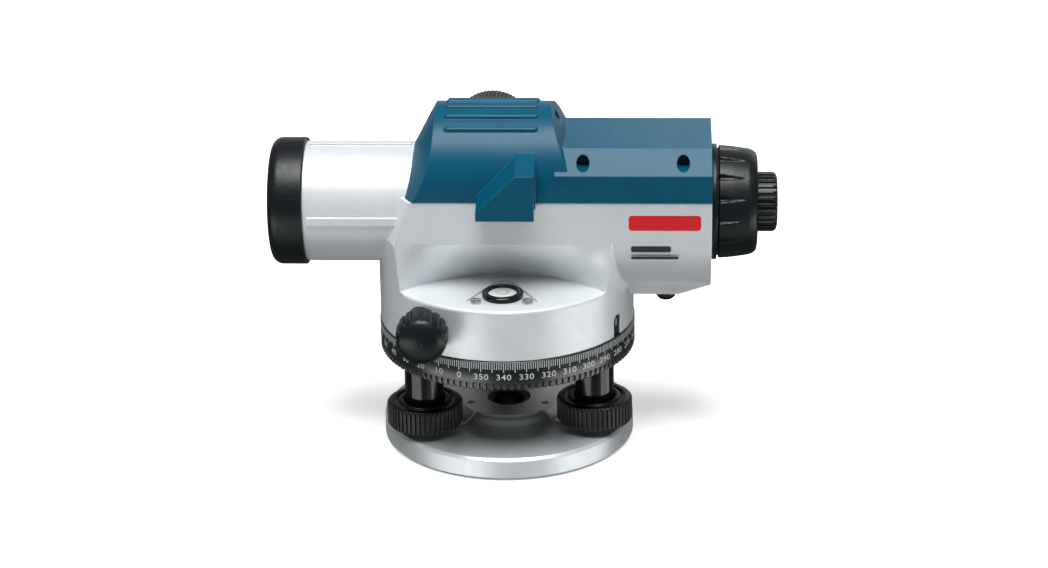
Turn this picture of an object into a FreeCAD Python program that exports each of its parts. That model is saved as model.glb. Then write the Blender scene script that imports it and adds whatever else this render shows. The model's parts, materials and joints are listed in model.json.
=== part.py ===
import FreeCAD, Part
import math
import os

# An automatic level: a surveying telescope with a compensator, on a horizontal circle,
# a levelling head with three foot screws, and a round base plate for a tripod.
# Frame: origin at the centre of the base plate's underside, +Z up along the vertical axis,
# +X towards the eyepiece, the objective at -X, the circular level at -Y. Millimetres.

# ---- base plate -------------------------------------------------------------
BASE_R = 54.3
BASE_TOP = 10.0
BASE_EDGE = 1.2
BOSS_FOOT_R = 21.3
BOSS_R = 18.8
BOSS_EDGE = 1.6            # convex rounding of the boss's shoulder, in two flats
BOSS_TOP = 14.0
THREAD_R = 6.8             # bore of the 5/8"-11 thread

# ---- foot spring plate, a three-armed sheet on the boss ------------------------
SPRING_T = 1.0
SPRING_HUB_R = 20.3        # reach of the hub between two arms
SPRING_SIDE_R = 28.5       # radius of the hub's three shallow sides
SPRING_CORNER_R = 21.4       # reach of the hub towards a foot
SPRING_HOLE_R = 9.5
SPRING_ARM_Z = 10.5
SPRING_ARM_W = 13.0
SPRING_BEND_R = 25.5       # where the sloping part of an arm meets its flat part
RIVET_RING = 17.6
RIVET_R = 1.7
RIVET_FIRST = -23.5

# ---- foot screws ----------------------------------------------------------------
FOOT_RING = 42.2
FOOT_ANGLES = {"left": 214.0, "right": 334.0, "rear": 94.0}
BALL_Z = 6.0
BALL_R = 4.5
SCREW_NECK_R = 2.8
SCREW_R = 3.5
SCREW_TOP = 46.0
CUP_R = 6.6
CUP_BOTTOM = 2.6
CUP_TOP = 9.6
SOCKET_R = 7.6
SOCKET_FLOOR = 1.2
SEAT_R = 11.0              # the loose seat ring that the rear foot rocks in
KNOB_R = 16.25
KNOB_BOTTOM = 13.2
KNOB_TOP = 24.5
KNOB_COLLAR_R = 12.5
KNOB_COLLAR_Z = 12.6
KNOB_RIM_R = 11.0
KNOB_BORE_R = 8.9
KNOB_BORE_FLOOR = 17.2
KNOB_GROOVES = 18
KNOB_GROOVE_R = 1.0
SLEEVE_R = 8.35
SLEEVE_WALL = 1.4
SLEEVE_BOTTOM = 21.0

# ---- levelling head ----------------------------------------------------------------
HEAD_R = 50.2
HEAD_BOTTOM = 42.8
HEAD_TOP = 47.4
NUT_R = 5.6
NUT_BOTTOM = 34.0
NUT_FLANGE_R = 7.4
NUT_TOP = 49.0
SPINDLE_R = 9.0
SPINDLE_NUT_T = 3.2
RUN = 0.05                 # radial clearance of a running fit
GAP = 0.3                  # gap between neighbours that never touch
SOCKET_BOTTOM = 33.0
SOCKET_BODY_R = 14.0
SOCKET_FLANGE_R = 23.0
SOCKET_FLANGE_TOP = 49.8
HUB_R = 17.0
HUB_TOP = 71.8
HUB_SHOULDER_R = 20.5
HUB_SHOULDER_Z = 62.2
HUB_SHOULDER_TOP = 64.0

# ---- horizontal circle --------------------------------------------------------------
CIRCLE_R = 55.1
CIRCLE_WALL = 3.6
CIRCLE_BOTTOM = 42.3
CIRCLE_TOP = 55.0
CIRCLE_WEB_Z = 50.4
CIRCLE_WEB = 2.2
CIRCLE_HUB_TOP = 55.0
NOTCHES = 36               # milled grip notches round the lower rim
NOTCH_R = 1.1
NOTCH_DEPTH = 0.9

# ---- slow motion drive ------------------------------------------------------------------
DRIVE_X = -32.5
DRIVE_Z = 68.0
WHEEL_TEETH = 116
WHEEL_MODULE = 0.5
WHEEL_R = WHEEL_TEETH * WHEEL_MODULE / 2
WHEEL_T = 6.0
WORM_R = -DRIVE_X - WHEEL_R - 0.1
WORM_HALF = 7.0
DRIVE_SHAFT_R = 2.9
DRIVE_BUSH_R = 7.2
DRIVE_BUSH_IN = 38.5
DRIVE_BUSH_OUT = 51.6
DRIVE_KNOB_IN = 52.0
DRIVE_KNOB_OUT = 67.5
DRIVE_KNOB_R = 11.0
DRIVE_FLUTES = 13
DRIVE_FLUTE_R = 1.3

# ---- main housing --------------------------------------------------------------------------
DRUM_R = 54.7
DRUM_BOTTOM = 55.4
DRUM_TOP = 77.7
DRUM_EDGE = 1.5
DRUM_WALL = 3.2
DRUM_CEILING = 74.5
COLUMN_TOP = 97.5
BODY_TOP = 116.4
BODY_HALF = 29.5
BODY_END = 87.5
BODY_WALL = 3.0
LEAN = 0.354               # backward lean of the front face, mm per mm of height
POCKET_LOW_X = 43.2
POCKET_LOW_MID = 13.5
POCKET_HIGH_X = 45.5
TROUGH_START = 43.0
TROUGH_R = 30.65
TROUGH_OFFSET = 1.15
TROUGH_Z = 100.0
TROUGH_FLAT = 17.0
TROUGH_FLAT_Z = 75.3
PAD_BOTTOM = 70.5
PAD_X = (54.0, 74.1, 87.5)
AXIS_Z = 106.3             # height of the telescope's axis
TUBE_R = 25.65
TUBE_FRONT = -84.5
BORE_R = 22.6
RIB_X = (-82.5, -39.4)
RIB_HALF = 1.8
RIB_HEIGHT = 0.8
INDEX_ANGLE = -28.7
INDEX_HALF = 2.8
INDEX_TOP = 65.0

# ---- cover -----------------------------------------------------------------------------------
COVER_HALF = 29.8
COVER_WALL = 2.5
HOOD_Z = 120.0             # centre of the hood's arch
HOOD_TUNNEL_HALF = 3.5
HOOD_TUNNEL_Z = (142.3, 146.8)
HOOD_LEAN = 0.53
HOOD_BACK_LEAN = -0.475
HOOD_FRONT_SHIFT = 8.2
HOOD_BACK_R = 180.0          # the back end is almost flat
HOOD_BACK_X = 36.0           # where the back end would meet the body at its middle
REAR_COVER_X = 22.0
COVER_SHOULDER_Z = 128.3
COVER_CHAMFER_Y = 19.3
COVER_TOP = 137.15
GRIP_ANGLES = (55, 69, 83, 97, 111, 125)
GRIP_X = (-23.2, 13.6)
GRIP_R = 1.4
COVER_SCREW_X = (33.8, 75.5)
COVER_SCREW_Z = 132.3
COVER_SCREW_HOLE_R = 2.7
PRISM_Y = (-46.0, -32.0)
PRISM_X = (-10.2, 14.0)
PRISM_BOTTOM = 114.4
PRISM_TOP = 133.9
PRISM_CUT = (6.5, 118.0)   # x at the top and z at the left of the cut corner
PRISM_RISE = 0.13

# ---- circular level ----------------------------------------------------------------------------
LEVEL_Y = -35.4
LEVEL_RING_R = 8.7
LEVEL_GLASS_R = 6.1
LEVEL_SCREWS = ((-10.8, -42.8), (10.8, -42.8))
LEVEL_SCREW_R = 2.3
LEVEL_PIVOT = (0.0, -22.5)  # the plate's rear foot, hidden at the pocket's wall
LEVEL_DEPTH = 1.6          # depth of the recess in the pocket's floor
LEVEL_PLATE_T = 0.8
SLOT_WIDTH = 0.5           # cross slots in screw heads

# ---- optics and mechanism ---------------------------------------------------------------------------
BEZEL_R = 27.2
BEZEL_FRONT = -99.5
LENS_R = 19.4
FOCUS_X = -7.5
FOCUS_Z = 122.5
FOCUS_KNOB_R = 17.5
FOCUS_KNOB_Y = (31.2, 51.0)
FOCUS_FLUTES = 24
PINION_R = 2.5
FRAME_X = (24.0, 48.0)
FRAME_TOP = 124.0
WINDOW_HALF = 13.0
WINDOW_Z = (93.0, 120.0)
PENDULUM_X = (28.0, 44.0)
PENDULUM_Z = (96.0, 116.0)
PENDULUM_HALF = 10.0
FIXED_PRISM_HALF = 8.0
GUIDE_ROD_R = 1.5
GUIDE_ROD_Y = 18.0
GUIDE_RING_X = (-64.0, -60.0)
CARRIAGE_X = (-38.0, -14.0)
CARRIAGE_R = 15.0
CARRIAGE_BORE = 11.0
RACK_Y = (10.0, 15.0)
RACK_END = 8.0
REAR_TUBE_R = 13.0
REAR_TUBE_BORE = 10.5
REAR_TUBE_X = (50.0, 102.0)
FLANGE_R = 24.65
FLANGE_X = (87.5, 90.0)
EYE_COVER_X = (90.0, 107.0)
EYE_COVER_R = (24.1, 21.4)
EYE_FLUTES = 16
DIOPTRE_R = 12.7
DIOPTRE_END = 115.5
BUTTON_X = 68.5
BUTTON_R = 4.4
BUTTON_BOTTOM = 61.3
BUTTON_HEAD_TOP = 72.0
BUTTON_STEM_R = 2.0
BUTTON_GUIDE_TOP = 80.0

X = FreeCAD.Vector(1, 0, 0)
Y = FreeCAD.Vector(0, 1, 0)
Z = FreeCAD.Vector(0, 0, 1)


def at(x, y, z):
    return FreeCAD.Vector(x, y, z)


def post(radius, bottom, top, x=0.0, y=0.0):
    """Upright cylinder."""
    return Part.makeCylinder(radius, top - bottom, at(x, y, bottom), Z)


def ring(outer, inner, bottom, top, x=0.0, y=0.0):
    """Upright tube."""
    return post(outer, bottom, top, x, y).cut(post(inner, bottom - 1, top + 1, x, y))


def rod_x(radius, x0, x1, y=0.0, z=AXIS_Z):
    """Cylinder along X."""
    return Part.makeCylinder(radius, x1 - x0, at(x0, y, z), X)


def ring_x(outer, inner, x0, x1, y=0.0, z=AXIS_Z):
    """Tube along X."""
    return rod_x(outer, x0, x1, y, z).cut(rod_x(inner, x0 - 1, x1 + 1, y, z))


def rod_y(radius, y0, y1, x, z):
    """Cylinder along Y."""
    return Part.makeCylinder(radius, y1 - y0, at(x, y0, z), Y)


def block(x, y, z):
    """Box from three (low, high) pairs."""
    return Part.makeBox(x[1] - x[0], y[1] - y[0], z[1] - z[0], at(x[0], y[0], z[0]))


def outline(points):
    """Flat face inside a closed outline."""
    return Part.Face(Part.makePolygon(points + [points[0]]))


def turned(profile):
    """Solid of revolution about Z from (radius, height) points."""
    return outline([at(radius, 0, height) for radius, height in profile]).revolve(at(0, 0, 0), Z, 360)


def turned_x(profile):
    """Solid of revolution about the telescope's axis from (radius, x) points."""
    return outline([at(x, radius, AXIS_Z) for radius, x in profile]).revolve(at(0, 0, AXIS_Z), X, 360)


def fused(shapes):
    """One solid from several that touch."""
    whole = shapes[0]
    for shape in shapes[1:]:
        whole = whole.fuse(shape)
    return whole.removeSplitter()


def moved(shape, x, y, z=0.0):
    copy = shape.copy()
    copy.translate(at(x, y, z))
    return copy


def spun(shape, angle, centre=None, axis=Z):
    copy = shape.copy()
    copy.rotate(centre or at(0, 0, 0), axis, angle)
    return copy


def polar(radius, angle):
    return (radius * math.cos(math.radians(angle)), radius * math.sin(math.radians(angle)))


def around(shape, count, centre=None, axis=Z, step=None):
    """Copies of a shape, evenly turned round an axis."""
    turn = step or 360.0 / count
    return [spun(shape, turn * i, centre, axis) for i in range(count)]


def save(name, shape):
    shape.exportStep("parts/" + name + ".step")


def save_group(name, solids):
    save(name, Part.makeCompound(solids))


def lens_x(radius, x0, x1, front_bulge, back_bulge):
    """Glass disc along X whose faces bulge outwards, or hollow inwards where negative."""
    def cap(x, bulge):
        return Part.Arc(at(x, -radius, AXIS_Z), at(x + bulge, 0, AXIS_Z), at(x, radius, AXIS_Z)).toShape()
    front = cap(x0, -front_bulge)
    back = cap(x1, back_bulge)
    side_a = Part.makeLine(at(x0, -radius, AXIS_Z), at(x1, -radius, AXIS_Z))
    side_b = Part.makeLine(at(x0, radius, AXIS_Z), at(x1, radius, AXIS_Z))
    face = Part.Face(Part.Wire(Part.__sortEdges__([front, side_b, back, side_a])))
    upper = face.common(block((x0 - radius, x1 + radius), (0, 2 * radius), (0, 2 * AXIS_Z)))
    return upper.revolve(at(0, 0, AXIS_Z), X, 360)


# ---- base body --------------------------------------------------------------------

def base_plate():
    plate = turned([(0, 0), (BASE_R - BASE_EDGE, 0), (BASE_R, BASE_EDGE), (BASE_R, BASE_TOP - BASE_EDGE),
                    (BASE_R - BASE_EDGE, BASE_TOP), (BOSS_FOOT_R, BASE_TOP),
                    (BOSS_FOOT_R - 0.3, BOSS_TOP - BOSS_EDGE), (BOSS_R + 0.9, BOSS_TOP - 0.4),
                    (BOSS_R, BOSS_TOP), (0, BOSS_TOP)])
    plate = plate.cut(post(THREAD_R, -1, BOSS_TOP + 1))
    for name, angle in FOOT_ANGLES.items():
        x, y = polar(FOOT_RING, angle)
        radius = SEAT_R if name == "rear" else SOCKET_R
        plate = plate.cut(post(radius, SOCKET_FLOOR, BASE_TOP + 1, x, y))
    for x, y in rivet_places():
        plate = plate.cut(post(RIVET_R, BASE_TOP - 2, BOSS_TOP + 1, x, y))
    return plate


def rivet_places():
    return [polar(RIVET_RING, RIVET_FIRST + step) for step in (0, 120, 227)]


def spring_hub(low, high):
    """Rounded triangle with a corner towards each foot."""
    offset = SPRING_SIDE_R - SPRING_HUB_R
    hub = post(SPRING_CORNER_R, low, high)
    for angle in FOOT_ANGLES.values():
        hub = hub.common(post(SPRING_SIDE_R, low, high, *polar(offset, angle)))
    return hub


def foot_spring_plate():
    """A hub disc on the boss, with three arms that step down and pass under the foot knobs."""
    low = SPRING_ARM_Z
    high = BOSS_TOP
    bend = SPRING_BEND_R
    slope_top = SPRING_BEND_R - 4.5
    end = FOOT_RING + 6.0
    side = [at(slope_top - 3, 0, high), at(slope_top, 0, high), at(bend, 0, low), at(end, 0, low),
            at(end, 0, low + SPRING_T), at(bend + 0.4, 0, low + SPRING_T),
            at(slope_top + 0.4, 0, high + SPRING_T), at(slope_top - 3, 0, high + SPRING_T)]
    arm = moved(outline(side).extrude(Y * SPRING_ARM_W), 0, -SPRING_ARM_W / 2)
    round_end = Part.makeBox(2 * end, SPRING_ARM_W, high, at(-end, -SPRING_ARM_W / 2, low - 1))
    arm = arm.common(round_end.common(post(end, 0, high + 2)))
    solids = [spring_hub(high, high + SPRING_T)]
    solids += [spun(arm, angle) for angle in FOOT_ANGLES.values()]
    plate = fused(solids).cut(post(SPRING_HOLE_R, 0, high + 3))
    for angle in FOOT_ANGLES.values():
        x, y = polar(FOOT_RING, angle)
        plate = plate.cut(post(BALL_R + 0.6, 0, BOSS_TOP + 3, x, y))
    for x, y in rivet_places():
        plate = plate.cut(post(RIVET_R, 0, BOSS_TOP + 3, x, y))
    return plate


def spring_plate_rivets():
    return [post(RIVET_R, BASE_TOP - 2, BOSS_TOP + SPRING_T, x, y) for x, y in rivet_places()]


def rear_ball_seat():
    """Loose ring in the plate's rear socket; the rear foot rocks sideways with it."""
    x, y = polar(FOOT_RING, FOOT_ANGLES["rear"])
    return ring(SEAT_R - 0.6, SOCKET_R, SOCKET_FLOOR + 0.8, BASE_TOP - 1.2, x, y)


# ---- feet ------------------------------------------------------------------------------

def foot_cup(x, y):
    cup = post(CUP_R, CUP_BOTTOM, CUP_TOP, x, y)
    cup = cup.cut(Part.makeSphere(BALL_R + RUN, at(x, y, BALL_Z)))
    return cup.cut(post(SCREW_NECK_R + 1.0, BALL_Z, CUP_TOP + 1, x, y))


def foot_screw(x, y):
    ball = Part.makeSphere(BALL_R, at(x, y, BALL_Z))
    neck = post(SCREW_NECK_R, BALL_Z, KNOB_COLLAR_Z + 1, x, y)
    shank = post(SCREW_R, KNOB_COLLAR_Z, SCREW_TOP, x, y)
    return fused([ball, neck, shank])


def foot_knob(x, y):
    """Grooved knob with a recess that the dust sleeve dips into."""
    knob = turned([(SCREW_R, KNOB_COLLAR_Z), (KNOB_COLLAR_R, KNOB_COLLAR_Z), (KNOB_COLLAR_R, KNOB_BOTTOM),
                   (KNOB_R - 0.8, KNOB_BOTTOM), (KNOB_R, KNOB_BOTTOM + 0.8), (KNOB_R, KNOB_TOP - 1.4),
                   (KNOB_R - 1.2, KNOB_TOP - 0.3), (KNOB_RIM_R + 0.8, KNOB_TOP - 0.3), (KNOB_RIM_R, KNOB_TOP),
                   (KNOB_BORE_R, KNOB_TOP), (KNOB_BORE_R, KNOB_BORE_FLOOR), (SCREW_R, KNOB_BORE_FLOOR)])
    groove = post(KNOB_GROOVE_R, 0, KNOB_TOP + 1, KNOB_R + KNOB_GROOVE_R * 0.35, 0)
    knob = knob.cut(Part.makeCompound(around(groove, KNOB_GROOVES)))
    return moved(knob, x, y)


def foot_sleeves():
    sleeves = []
    for angle in FOOT_ANGLES.values():
        x, y = polar(FOOT_RING, angle)
        sleeves.append(ring(SLEEVE_R, SLEEVE_R - SLEEVE_WALL, SLEEVE_BOTTOM, HEAD_BOTTOM, x, y))
    return sleeves


def foot_nuts():
    nuts = []
    for angle in FOOT_ANGLES.values():
        x, y = polar(FOOT_RING, angle)
        nut = post(NUT_R, NUT_BOTTOM, NUT_TOP, x, y).fuse(post(NUT_FLANGE_R, HEAD_TOP, NUT_TOP, x, y))
        nuts.append(nut.cut(post(SCREW_R + RUN, 0, NUT_TOP + 1, x, y)).removeSplitter())
    return nuts


# ---- levelling head -------------------------------------------------------------------------

def tribrach_plate():
    plate = post(HEAD_R, HEAD_BOTTOM, HEAD_TOP)
    rim = ring(HEAD_R, HEAD_R - 3, HEAD_TOP, HEAD_TOP + 1.4)
    hub = post(SOCKET_FLANGE_R - 2, HEAD_BOTTOM - 6, HEAD_TOP)
    plate = fused([plate, rim, hub]).cut(post(SOCKET_BODY_R, 0, HEAD_TOP + 2))
    for angle in FOOT_ANGLES.values():
        x, y = polar(FOOT_RING, angle)
        plate = plate.cut(post(NUT_R, 0, HEAD_TOP + 2, x, y))
        plate = plate.cut(post(NUT_FLANGE_R, HEAD_TOP, HEAD_TOP + 2, x, y))
    return plate


def spindle_socket():
    """Steel socket: its bore carries the spindle, its outside carries the circle and the worm wheel."""
    bore = SPINDLE_R + RUN
    return turned([(bore, SOCKET_BOTTOM), (SOCKET_BODY_R, SOCKET_BOTTOM), (SOCKET_BODY_R, HEAD_TOP),
                   (SOCKET_FLANGE_R, HEAD_TOP), (SOCKET_FLANGE_R, SOCKET_FLANGE_TOP),
                   (HUB_R, SOCKET_FLANGE_TOP), (HUB_R, HUB_SHOULDER_Z), (HUB_SHOULDER_R, HUB_SHOULDER_Z),
                   (HUB_SHOULDER_R, HUB_SHOULDER_TOP), (HUB_R, HUB_SHOULDER_TOP), (HUB_R, HUB_TOP),
                   (bore, HUB_TOP)])


def horizontal_circle():
    skirt = ring(CIRCLE_R, CIRCLE_R - CIRCLE_WALL, CIRCLE_BOTTOM, CIRCLE_TOP)
    web = ring(CIRCLE_R - 1, HUB_R + RUN, CIRCLE_WEB_Z, CIRCLE_WEB_Z + CIRCLE_WEB)
    hub = ring(HUB_R + 4, HUB_R + RUN, CIRCLE_WEB_Z, CIRCLE_HUB_TOP)
    circle = fused([skirt, web, hub])
    notch_x = CIRCLE_R + NOTCH_R - NOTCH_DEPTH
    notch = post(NOTCH_R, CIRCLE_BOTTOM - 1, CIRCLE_BOTTOM + 3.0, notch_x, 0)
    return circle.cut(Part.makeCompound(around(notch, NOTCHES)))


def worm_wheel():
    low = HUB_SHOULDER_TOP
    return ring(WHEEL_R, HUB_R + RUN, low, low + WHEEL_T)


# ---- main housing --------------------------------------------------------------------------------

def leaning_cylinder(bottom, top, shift, lean, radius=DRUM_R):
    """Oblique cylinder, its centre moving along X with height."""
    circle = Part.Face(Part.Wire(Part.makeCircle(radius, at(shift, 0, bottom))))
    return circle.extrude(at(lean * (top - bottom), 0, top - bottom))


def pocket(side):
    """Room in the column over the circular level, or over the drum behind."""
    low = DRUM_TOP
    high = COLUMN_TOP
    low_y = side * math.sqrt(DRUM_R ** 2 - POCKET_LOW_X ** 2)
    mid_y = side * POCKET_LOW_MID
    high_y = side * BODY_HALF
    out_y = side * (DRUM_R + 6)

    def section(half_x, corner_y, middle_y, height):
        corners = [at(-half_x, corner_y, height), at(half_x, corner_y, height)]
        wall = Part.Arc(corners[0], at(0, middle_y, height), corners[1]).toShape()
        outside = [at(half_x, out_y, height), at(-half_x, out_y, height)]
        edges = [wall, Part.makeLine(corners[1], outside[0]), Part.makeLine(outside[0], outside[1]),
                 Part.makeLine(outside[1], corners[0])]
        return Part.Wire(edges)

    lower = section(POCKET_LOW_X, low_y, mid_y, low)
    upper = section(POCKET_HIGH_X, high_y, high_y - side * 0.05, high)
    return Part.makeLoft([lower, upper], True, True)


def round_lip(column):
    """Rounds the two arcs where the pocket floors run out over the drum's side."""
    outer = DRUM_R + 1
    inner = DRUM_R - DRUM_EDGE
    low = DRUM_TOP - DRUM_EDGE
    corner = turned([(inner, low), (outer, low), (outer, DRUM_TOP + 1), (inner, DRUM_TOP + 1)])
    torus = Part.makeTorus(inner, DRUM_EDGE, at(0, 0, low), Z)
    reach = POCKET_LOW_X - DRUM_EDGE
    trims = corner.cut(torus).common(block((-reach, reach), (-outer, outer), (low, DRUM_TOP)))
    return column.cut(trims)


def trough_section(x):
    """Outline of the rear body: flat flanks, round corners and a narrow flat bottom."""
    half = BODY_HALF
    low = TROUGH_FLAT_Z
    slant = math.radians(45)
    arc_y = TROUGH_R * math.cos(slant) - TROUGH_OFFSET
    arc_z = TROUGH_Z - TROUGH_R * math.sin(slant)
    right = Part.Arc(at(x, half, TROUGH_Z), at(x, arc_y, arc_z), at(x, TROUGH_FLAT, low)).toShape()
    left = Part.Arc(at(x, -TROUGH_FLAT, low), at(x, -arc_y, arc_z), at(x, -half, TROUGH_Z)).toShape()
    edges = [Part.makeLine(at(x, half, BODY_TOP), at(x, half, TROUGH_Z)), right,
             Part.makeLine(at(x, TROUGH_FLAT, low), at(x, -TROUGH_FLAT, low)), left,
             Part.makeLine(at(x, -half, TROUGH_Z), at(x, -half, BODY_TOP)),
             Part.makeLine(at(x, -half, BODY_TOP), at(x, half, BODY_TOP))]
    return Part.Face(Part.Wire(edges))


def main_housing():
    """One casting: drum, column with two pockets, telescope tube, and the open rear trough."""
    column = post(DRUM_R, DRUM_BOTTOM, COLUMN_TOP).cut(pocket(-1)).cut(pocket(1))
    column = round_lip(column)
    flanks = block((-DRUM_R - 5, TROUGH_START + 4), (-BODY_HALF, BODY_HALF), (COLUMN_TOP, BODY_TOP))
    upper = flanks.common(leaning_cylinder(COLUMN_TOP, BODY_TOP, 0, LEAN))
    trough = trough_section(TROUGH_START).extrude(X * (BODY_END - TROUGH_START))
    pad_side = [at(PAD_X[0] - 4, 0, TROUGH_FLAT_Z + 1), at(PAD_X[0], 0, PAD_BOTTOM),
                at(PAD_X[1], 0, PAD_BOTTOM), at(PAD_X[2], 0, TROUGH_FLAT_Z - 0.4),
                at(PAD_X[2], 0, TROUGH_FLAT_Z + 1)]
    pad = moved(outline(pad_side).extrude(Y * (2 * TROUGH_FLAT)), 0, -TROUGH_FLAT)
    tube = rod_x(TUBE_R, TUBE_FRONT, -20)
    rib = block(RIB_X, (TUBE_R - 1, TUBE_R + RIB_HEIGHT), (AXIS_Z - RIB_HALF, AXIS_Z + RIB_HALF))
    ribs = around(rib, 4, at(0, 0, AXIS_Z), X)
    body = fused([column, upper, trough, pad, tube] + ribs)
    body = body.cut(post(DRUM_R - DRUM_WALL, DRUM_BOTTOM - 1, DRUM_CEILING))
    return hollowed(body)


def hollowed(body):
    """The housing's inside: the telescope bore, the trough and the holes for bushes and optics."""
    bore = rod_x(BORE_R, TUBE_FRONT - 1, FRAME_X[1] + 4)
    opening = block((-33, BODY_END - BODY_WALL), (-BODY_HALF + 3, BODY_HALF - 3), (AXIS_Z, BODY_TOP + 40))
    trough = rod_x(BODY_HALF - 3.2, FRAME_X[1] + 3, BODY_END - BODY_WALL, 0, AXIS_Z - 4.8)
    web = ring_x(BORE_R + 1, 14.5, *GUIDE_RING_X)
    for side in (-1, 1):
        web = web.cut(rod_x(GUIDE_ROD_R, GUIDE_RING_X[0] - 1, GUIDE_RING_X[1] + 1, side * GUIDE_ROD_Y))
    guide = post(BUTTON_R + 2.1, TROUGH_FLAT_Z - 1, BUTTON_GUIDE_TOP, BUTTON_X)
    body = fused([body.cut(bore).cut(opening).cut(trough), web, guide])
    body = body.cut(rod_x(REAR_TUBE_R, BODY_END - 5, BODY_END + 1))
    body = body.cut(rod_y(DRIVE_BUSH_R - 1.2, -DRUM_R, DRUM_R, DRIVE_X, DRIVE_Z))
    body = body.cut(post(BUTTON_R + 0.1, PAD_BOTTOM - 1, BUTTON_GUIDE_TOP - 1.8, BUTTON_X))
    body = body.cut(post(BUTTON_STEM_R + 0.1, PAD_BOTTOM, BUTTON_GUIDE_TOP + 1, BUTTON_X))
    body = body.cut(index_slot(INDEX_HALF, DRUM_BOTTOM - 1, DRUM_R + 2))
    body = body.cut(level_recess(DRUM_TOP - LEVEL_DEPTH, DRUM_TOP + 1, 0.1))
    body = body.cut(post(LEVEL_GLASS_R + 1.4, DRUM_CEILING - 1, DRUM_TOP + 1, 0, LEVEL_Y))
    for x, y in LEVEL_SCREWS:
        body = body.cut(post(1.2, DRUM_CEILING - 1, DRUM_TOP + 1, x, y))
    for screw in spindle_screws():
        body = body.cut(screw)
    return body.removeSplitter()


def index_slot(half, low, outer):
    """Window shape with a round top, through the drum's wall over the circle."""
    high = INDEX_TOP - INDEX_HALF
    slot = block((DRUM_R - 6, outer), (-half, half), (low, high))
    slot = slot.fuse(rod_x(half, DRUM_R - 6, outer, 0, high))
    return spun(slot, INDEX_ANGLE)


def index_block():
    """Dark block behind the window, with a pad that fills the window and carries the reading mark."""
    body = ring(DRUM_R - DRUM_WALL, DRUM_R - DRUM_WALL - 3, DRUM_BOTTOM + 0.3, INDEX_TOP + 1.5)
    wedge = block((0, DRUM_R), (-5.0, 5.0), (DRUM_BOTTOM, INDEX_TOP + 3))
    pad = index_slot(INDEX_HALF - 0.05, DRUM_BOTTOM + 0.3, DRUM_R)
    pad = pad.common(ring(DRUM_R - 0.7, DRUM_R - DRUM_WALL - 3, DRUM_BOTTOM + 0.3, INDEX_TOP + 1.5))
    return body.common(spun(wedge, INDEX_ANGLE)).fuse(pad).removeSplitter()


def spindle():
    """Steel spindle of the vertical axis, with the flange that bolts up under the drum's ceiling."""
    foot = SOCKET_BOTTOM - GAP
    flange = HUB_TOP + GAP
    return turned([(0, foot - SPINDLE_NUT_T), (SPINDLE_R - 2, foot - SPINDLE_NUT_T), (SPINDLE_R - 2, foot),
                   (SPINDLE_R, foot), (SPINDLE_R, flange), (HUB_R, flange), (HUB_R, DRUM_CEILING),
                   (0, DRUM_CEILING)])


def spindle_nut():
    foot = SOCKET_BOTTOM - GAP
    return ring(SPINDLE_R + 2.5, SPINDLE_R - 2, foot - SPINDLE_NUT_T, foot)


def spindle_screws():
    return around(post(1.6, HUB_TOP + 0.6, DRUM_TOP - 0.8, 12.5, 0), 4)


# ---- cover ------------------------------------------------------------------------------------------

def arch(radius, x0, x1, base):
    """Hood section: straight sides up to the arch's centre, then a half circle."""
    half = block((x0, x1), (-radius, radius), (base, HOOD_Z))
    above = block((x0, x1), (-radius, radius), (base, HOOD_Z + radius + 1))
    dome = rod_x(radius, x0, x1, 0, HOOD_Z).common(above)
    return half.fuse(dome).removeSplitter()


def hood():
    top = HOOD_Z + COVER_HALF + 4
    front = leaning_cylinder(BODY_TOP, top, HOOD_FRONT_SHIFT, HOOD_LEAN)
    back = leaning_cylinder(BODY_TOP, top, HOOD_BACK_X - HOOD_BACK_R, HOOD_BACK_LEAN, HOOD_BACK_R)
    ends = front.common(back)
    body = arch(COVER_HALF, -DRUM_R, DRUM_R, BODY_TOP).common(ends)
    grips = []
    for angle in GRIP_ANGLES:
        y, z = polar(COVER_HALF - 0.2, 180 + angle)
        bar = rod_x(GRIP_R, GRIP_X[0], GRIP_X[1], y, HOOD_Z - z)
        tips = [Part.makeSphere(GRIP_R, at(x, y, HOOD_Z - z)) for x in GRIP_X]
        grips.append(bar.fuse(tips).removeSplitter())
    return fused([body] + grips)


def rear_cover_section(wall, shoulder_drop, flat_inset):
    """Section of the cover's low rear part; wall is how far it is drawn in from the outside."""
    x = REAR_COVER_X
    half = COVER_HALF - wall
    flat = COVER_CHAMFER_Y - flat_inset
    top = COVER_TOP - wall
    shoulder = COVER_SHOULDER_Z - shoulder_drop
    base = BODY_TOP - shoulder_drop
    return outline([at(x, -half, base), at(x, -half, shoulder), at(x, -flat, top), at(x, flat, top),
                    at(x, half, shoulder), at(x, half, base)])


def prism_box(inset, y0, y1, rise):
    """Hood over the level's prism: a box along Y whose top slopes up and whose front corner is cut."""
    left = PRISM_X[0] + inset
    right = PRISM_X[1]
    top = PRISM_TOP - inset
    cut_z = PRISM_CUT[1] - inset * 0.6
    cut_x = PRISM_CUT[0] + inset * 0.6
    face = outline([at(left, y0, PRISM_BOTTOM - 20), at(right, y0, PRISM_BOTTOM - 20), at(right, y0, top),
                    at(cut_x, y0, top), at(left, y0, cut_z)])
    return face.extrude(at(0, y1 - y0, rise * (y1 - y0)))


def prism_hood():
    shell = prism_box(0, PRISM_Y[0], -BODY_HALF + 8, PRISM_RISE)
    width = (PRISM_X[0] - 1, PRISM_X[1] + 1)
    front = PRISM_Y[0] - 1
    keep = block(width, (front, -BODY_HALF + 9), (BODY_TOP, PRISM_TOP + 20))
    skirt = block(width, (front, -BODY_HALF - GAP), (PRISM_BOTTOM, BODY_TOP))
    return shell.common(keep.fuse(skirt).removeSplitter())


def prism_room():
    """Hollow of the prism's hood, open below and towards the eyepiece."""
    room = prism_box(2.0, PRISM_Y[0] + 2, PRISM_Y[1], 0)
    return room.fuse(moved(room, 3, 0)).removeSplitter()


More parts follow.
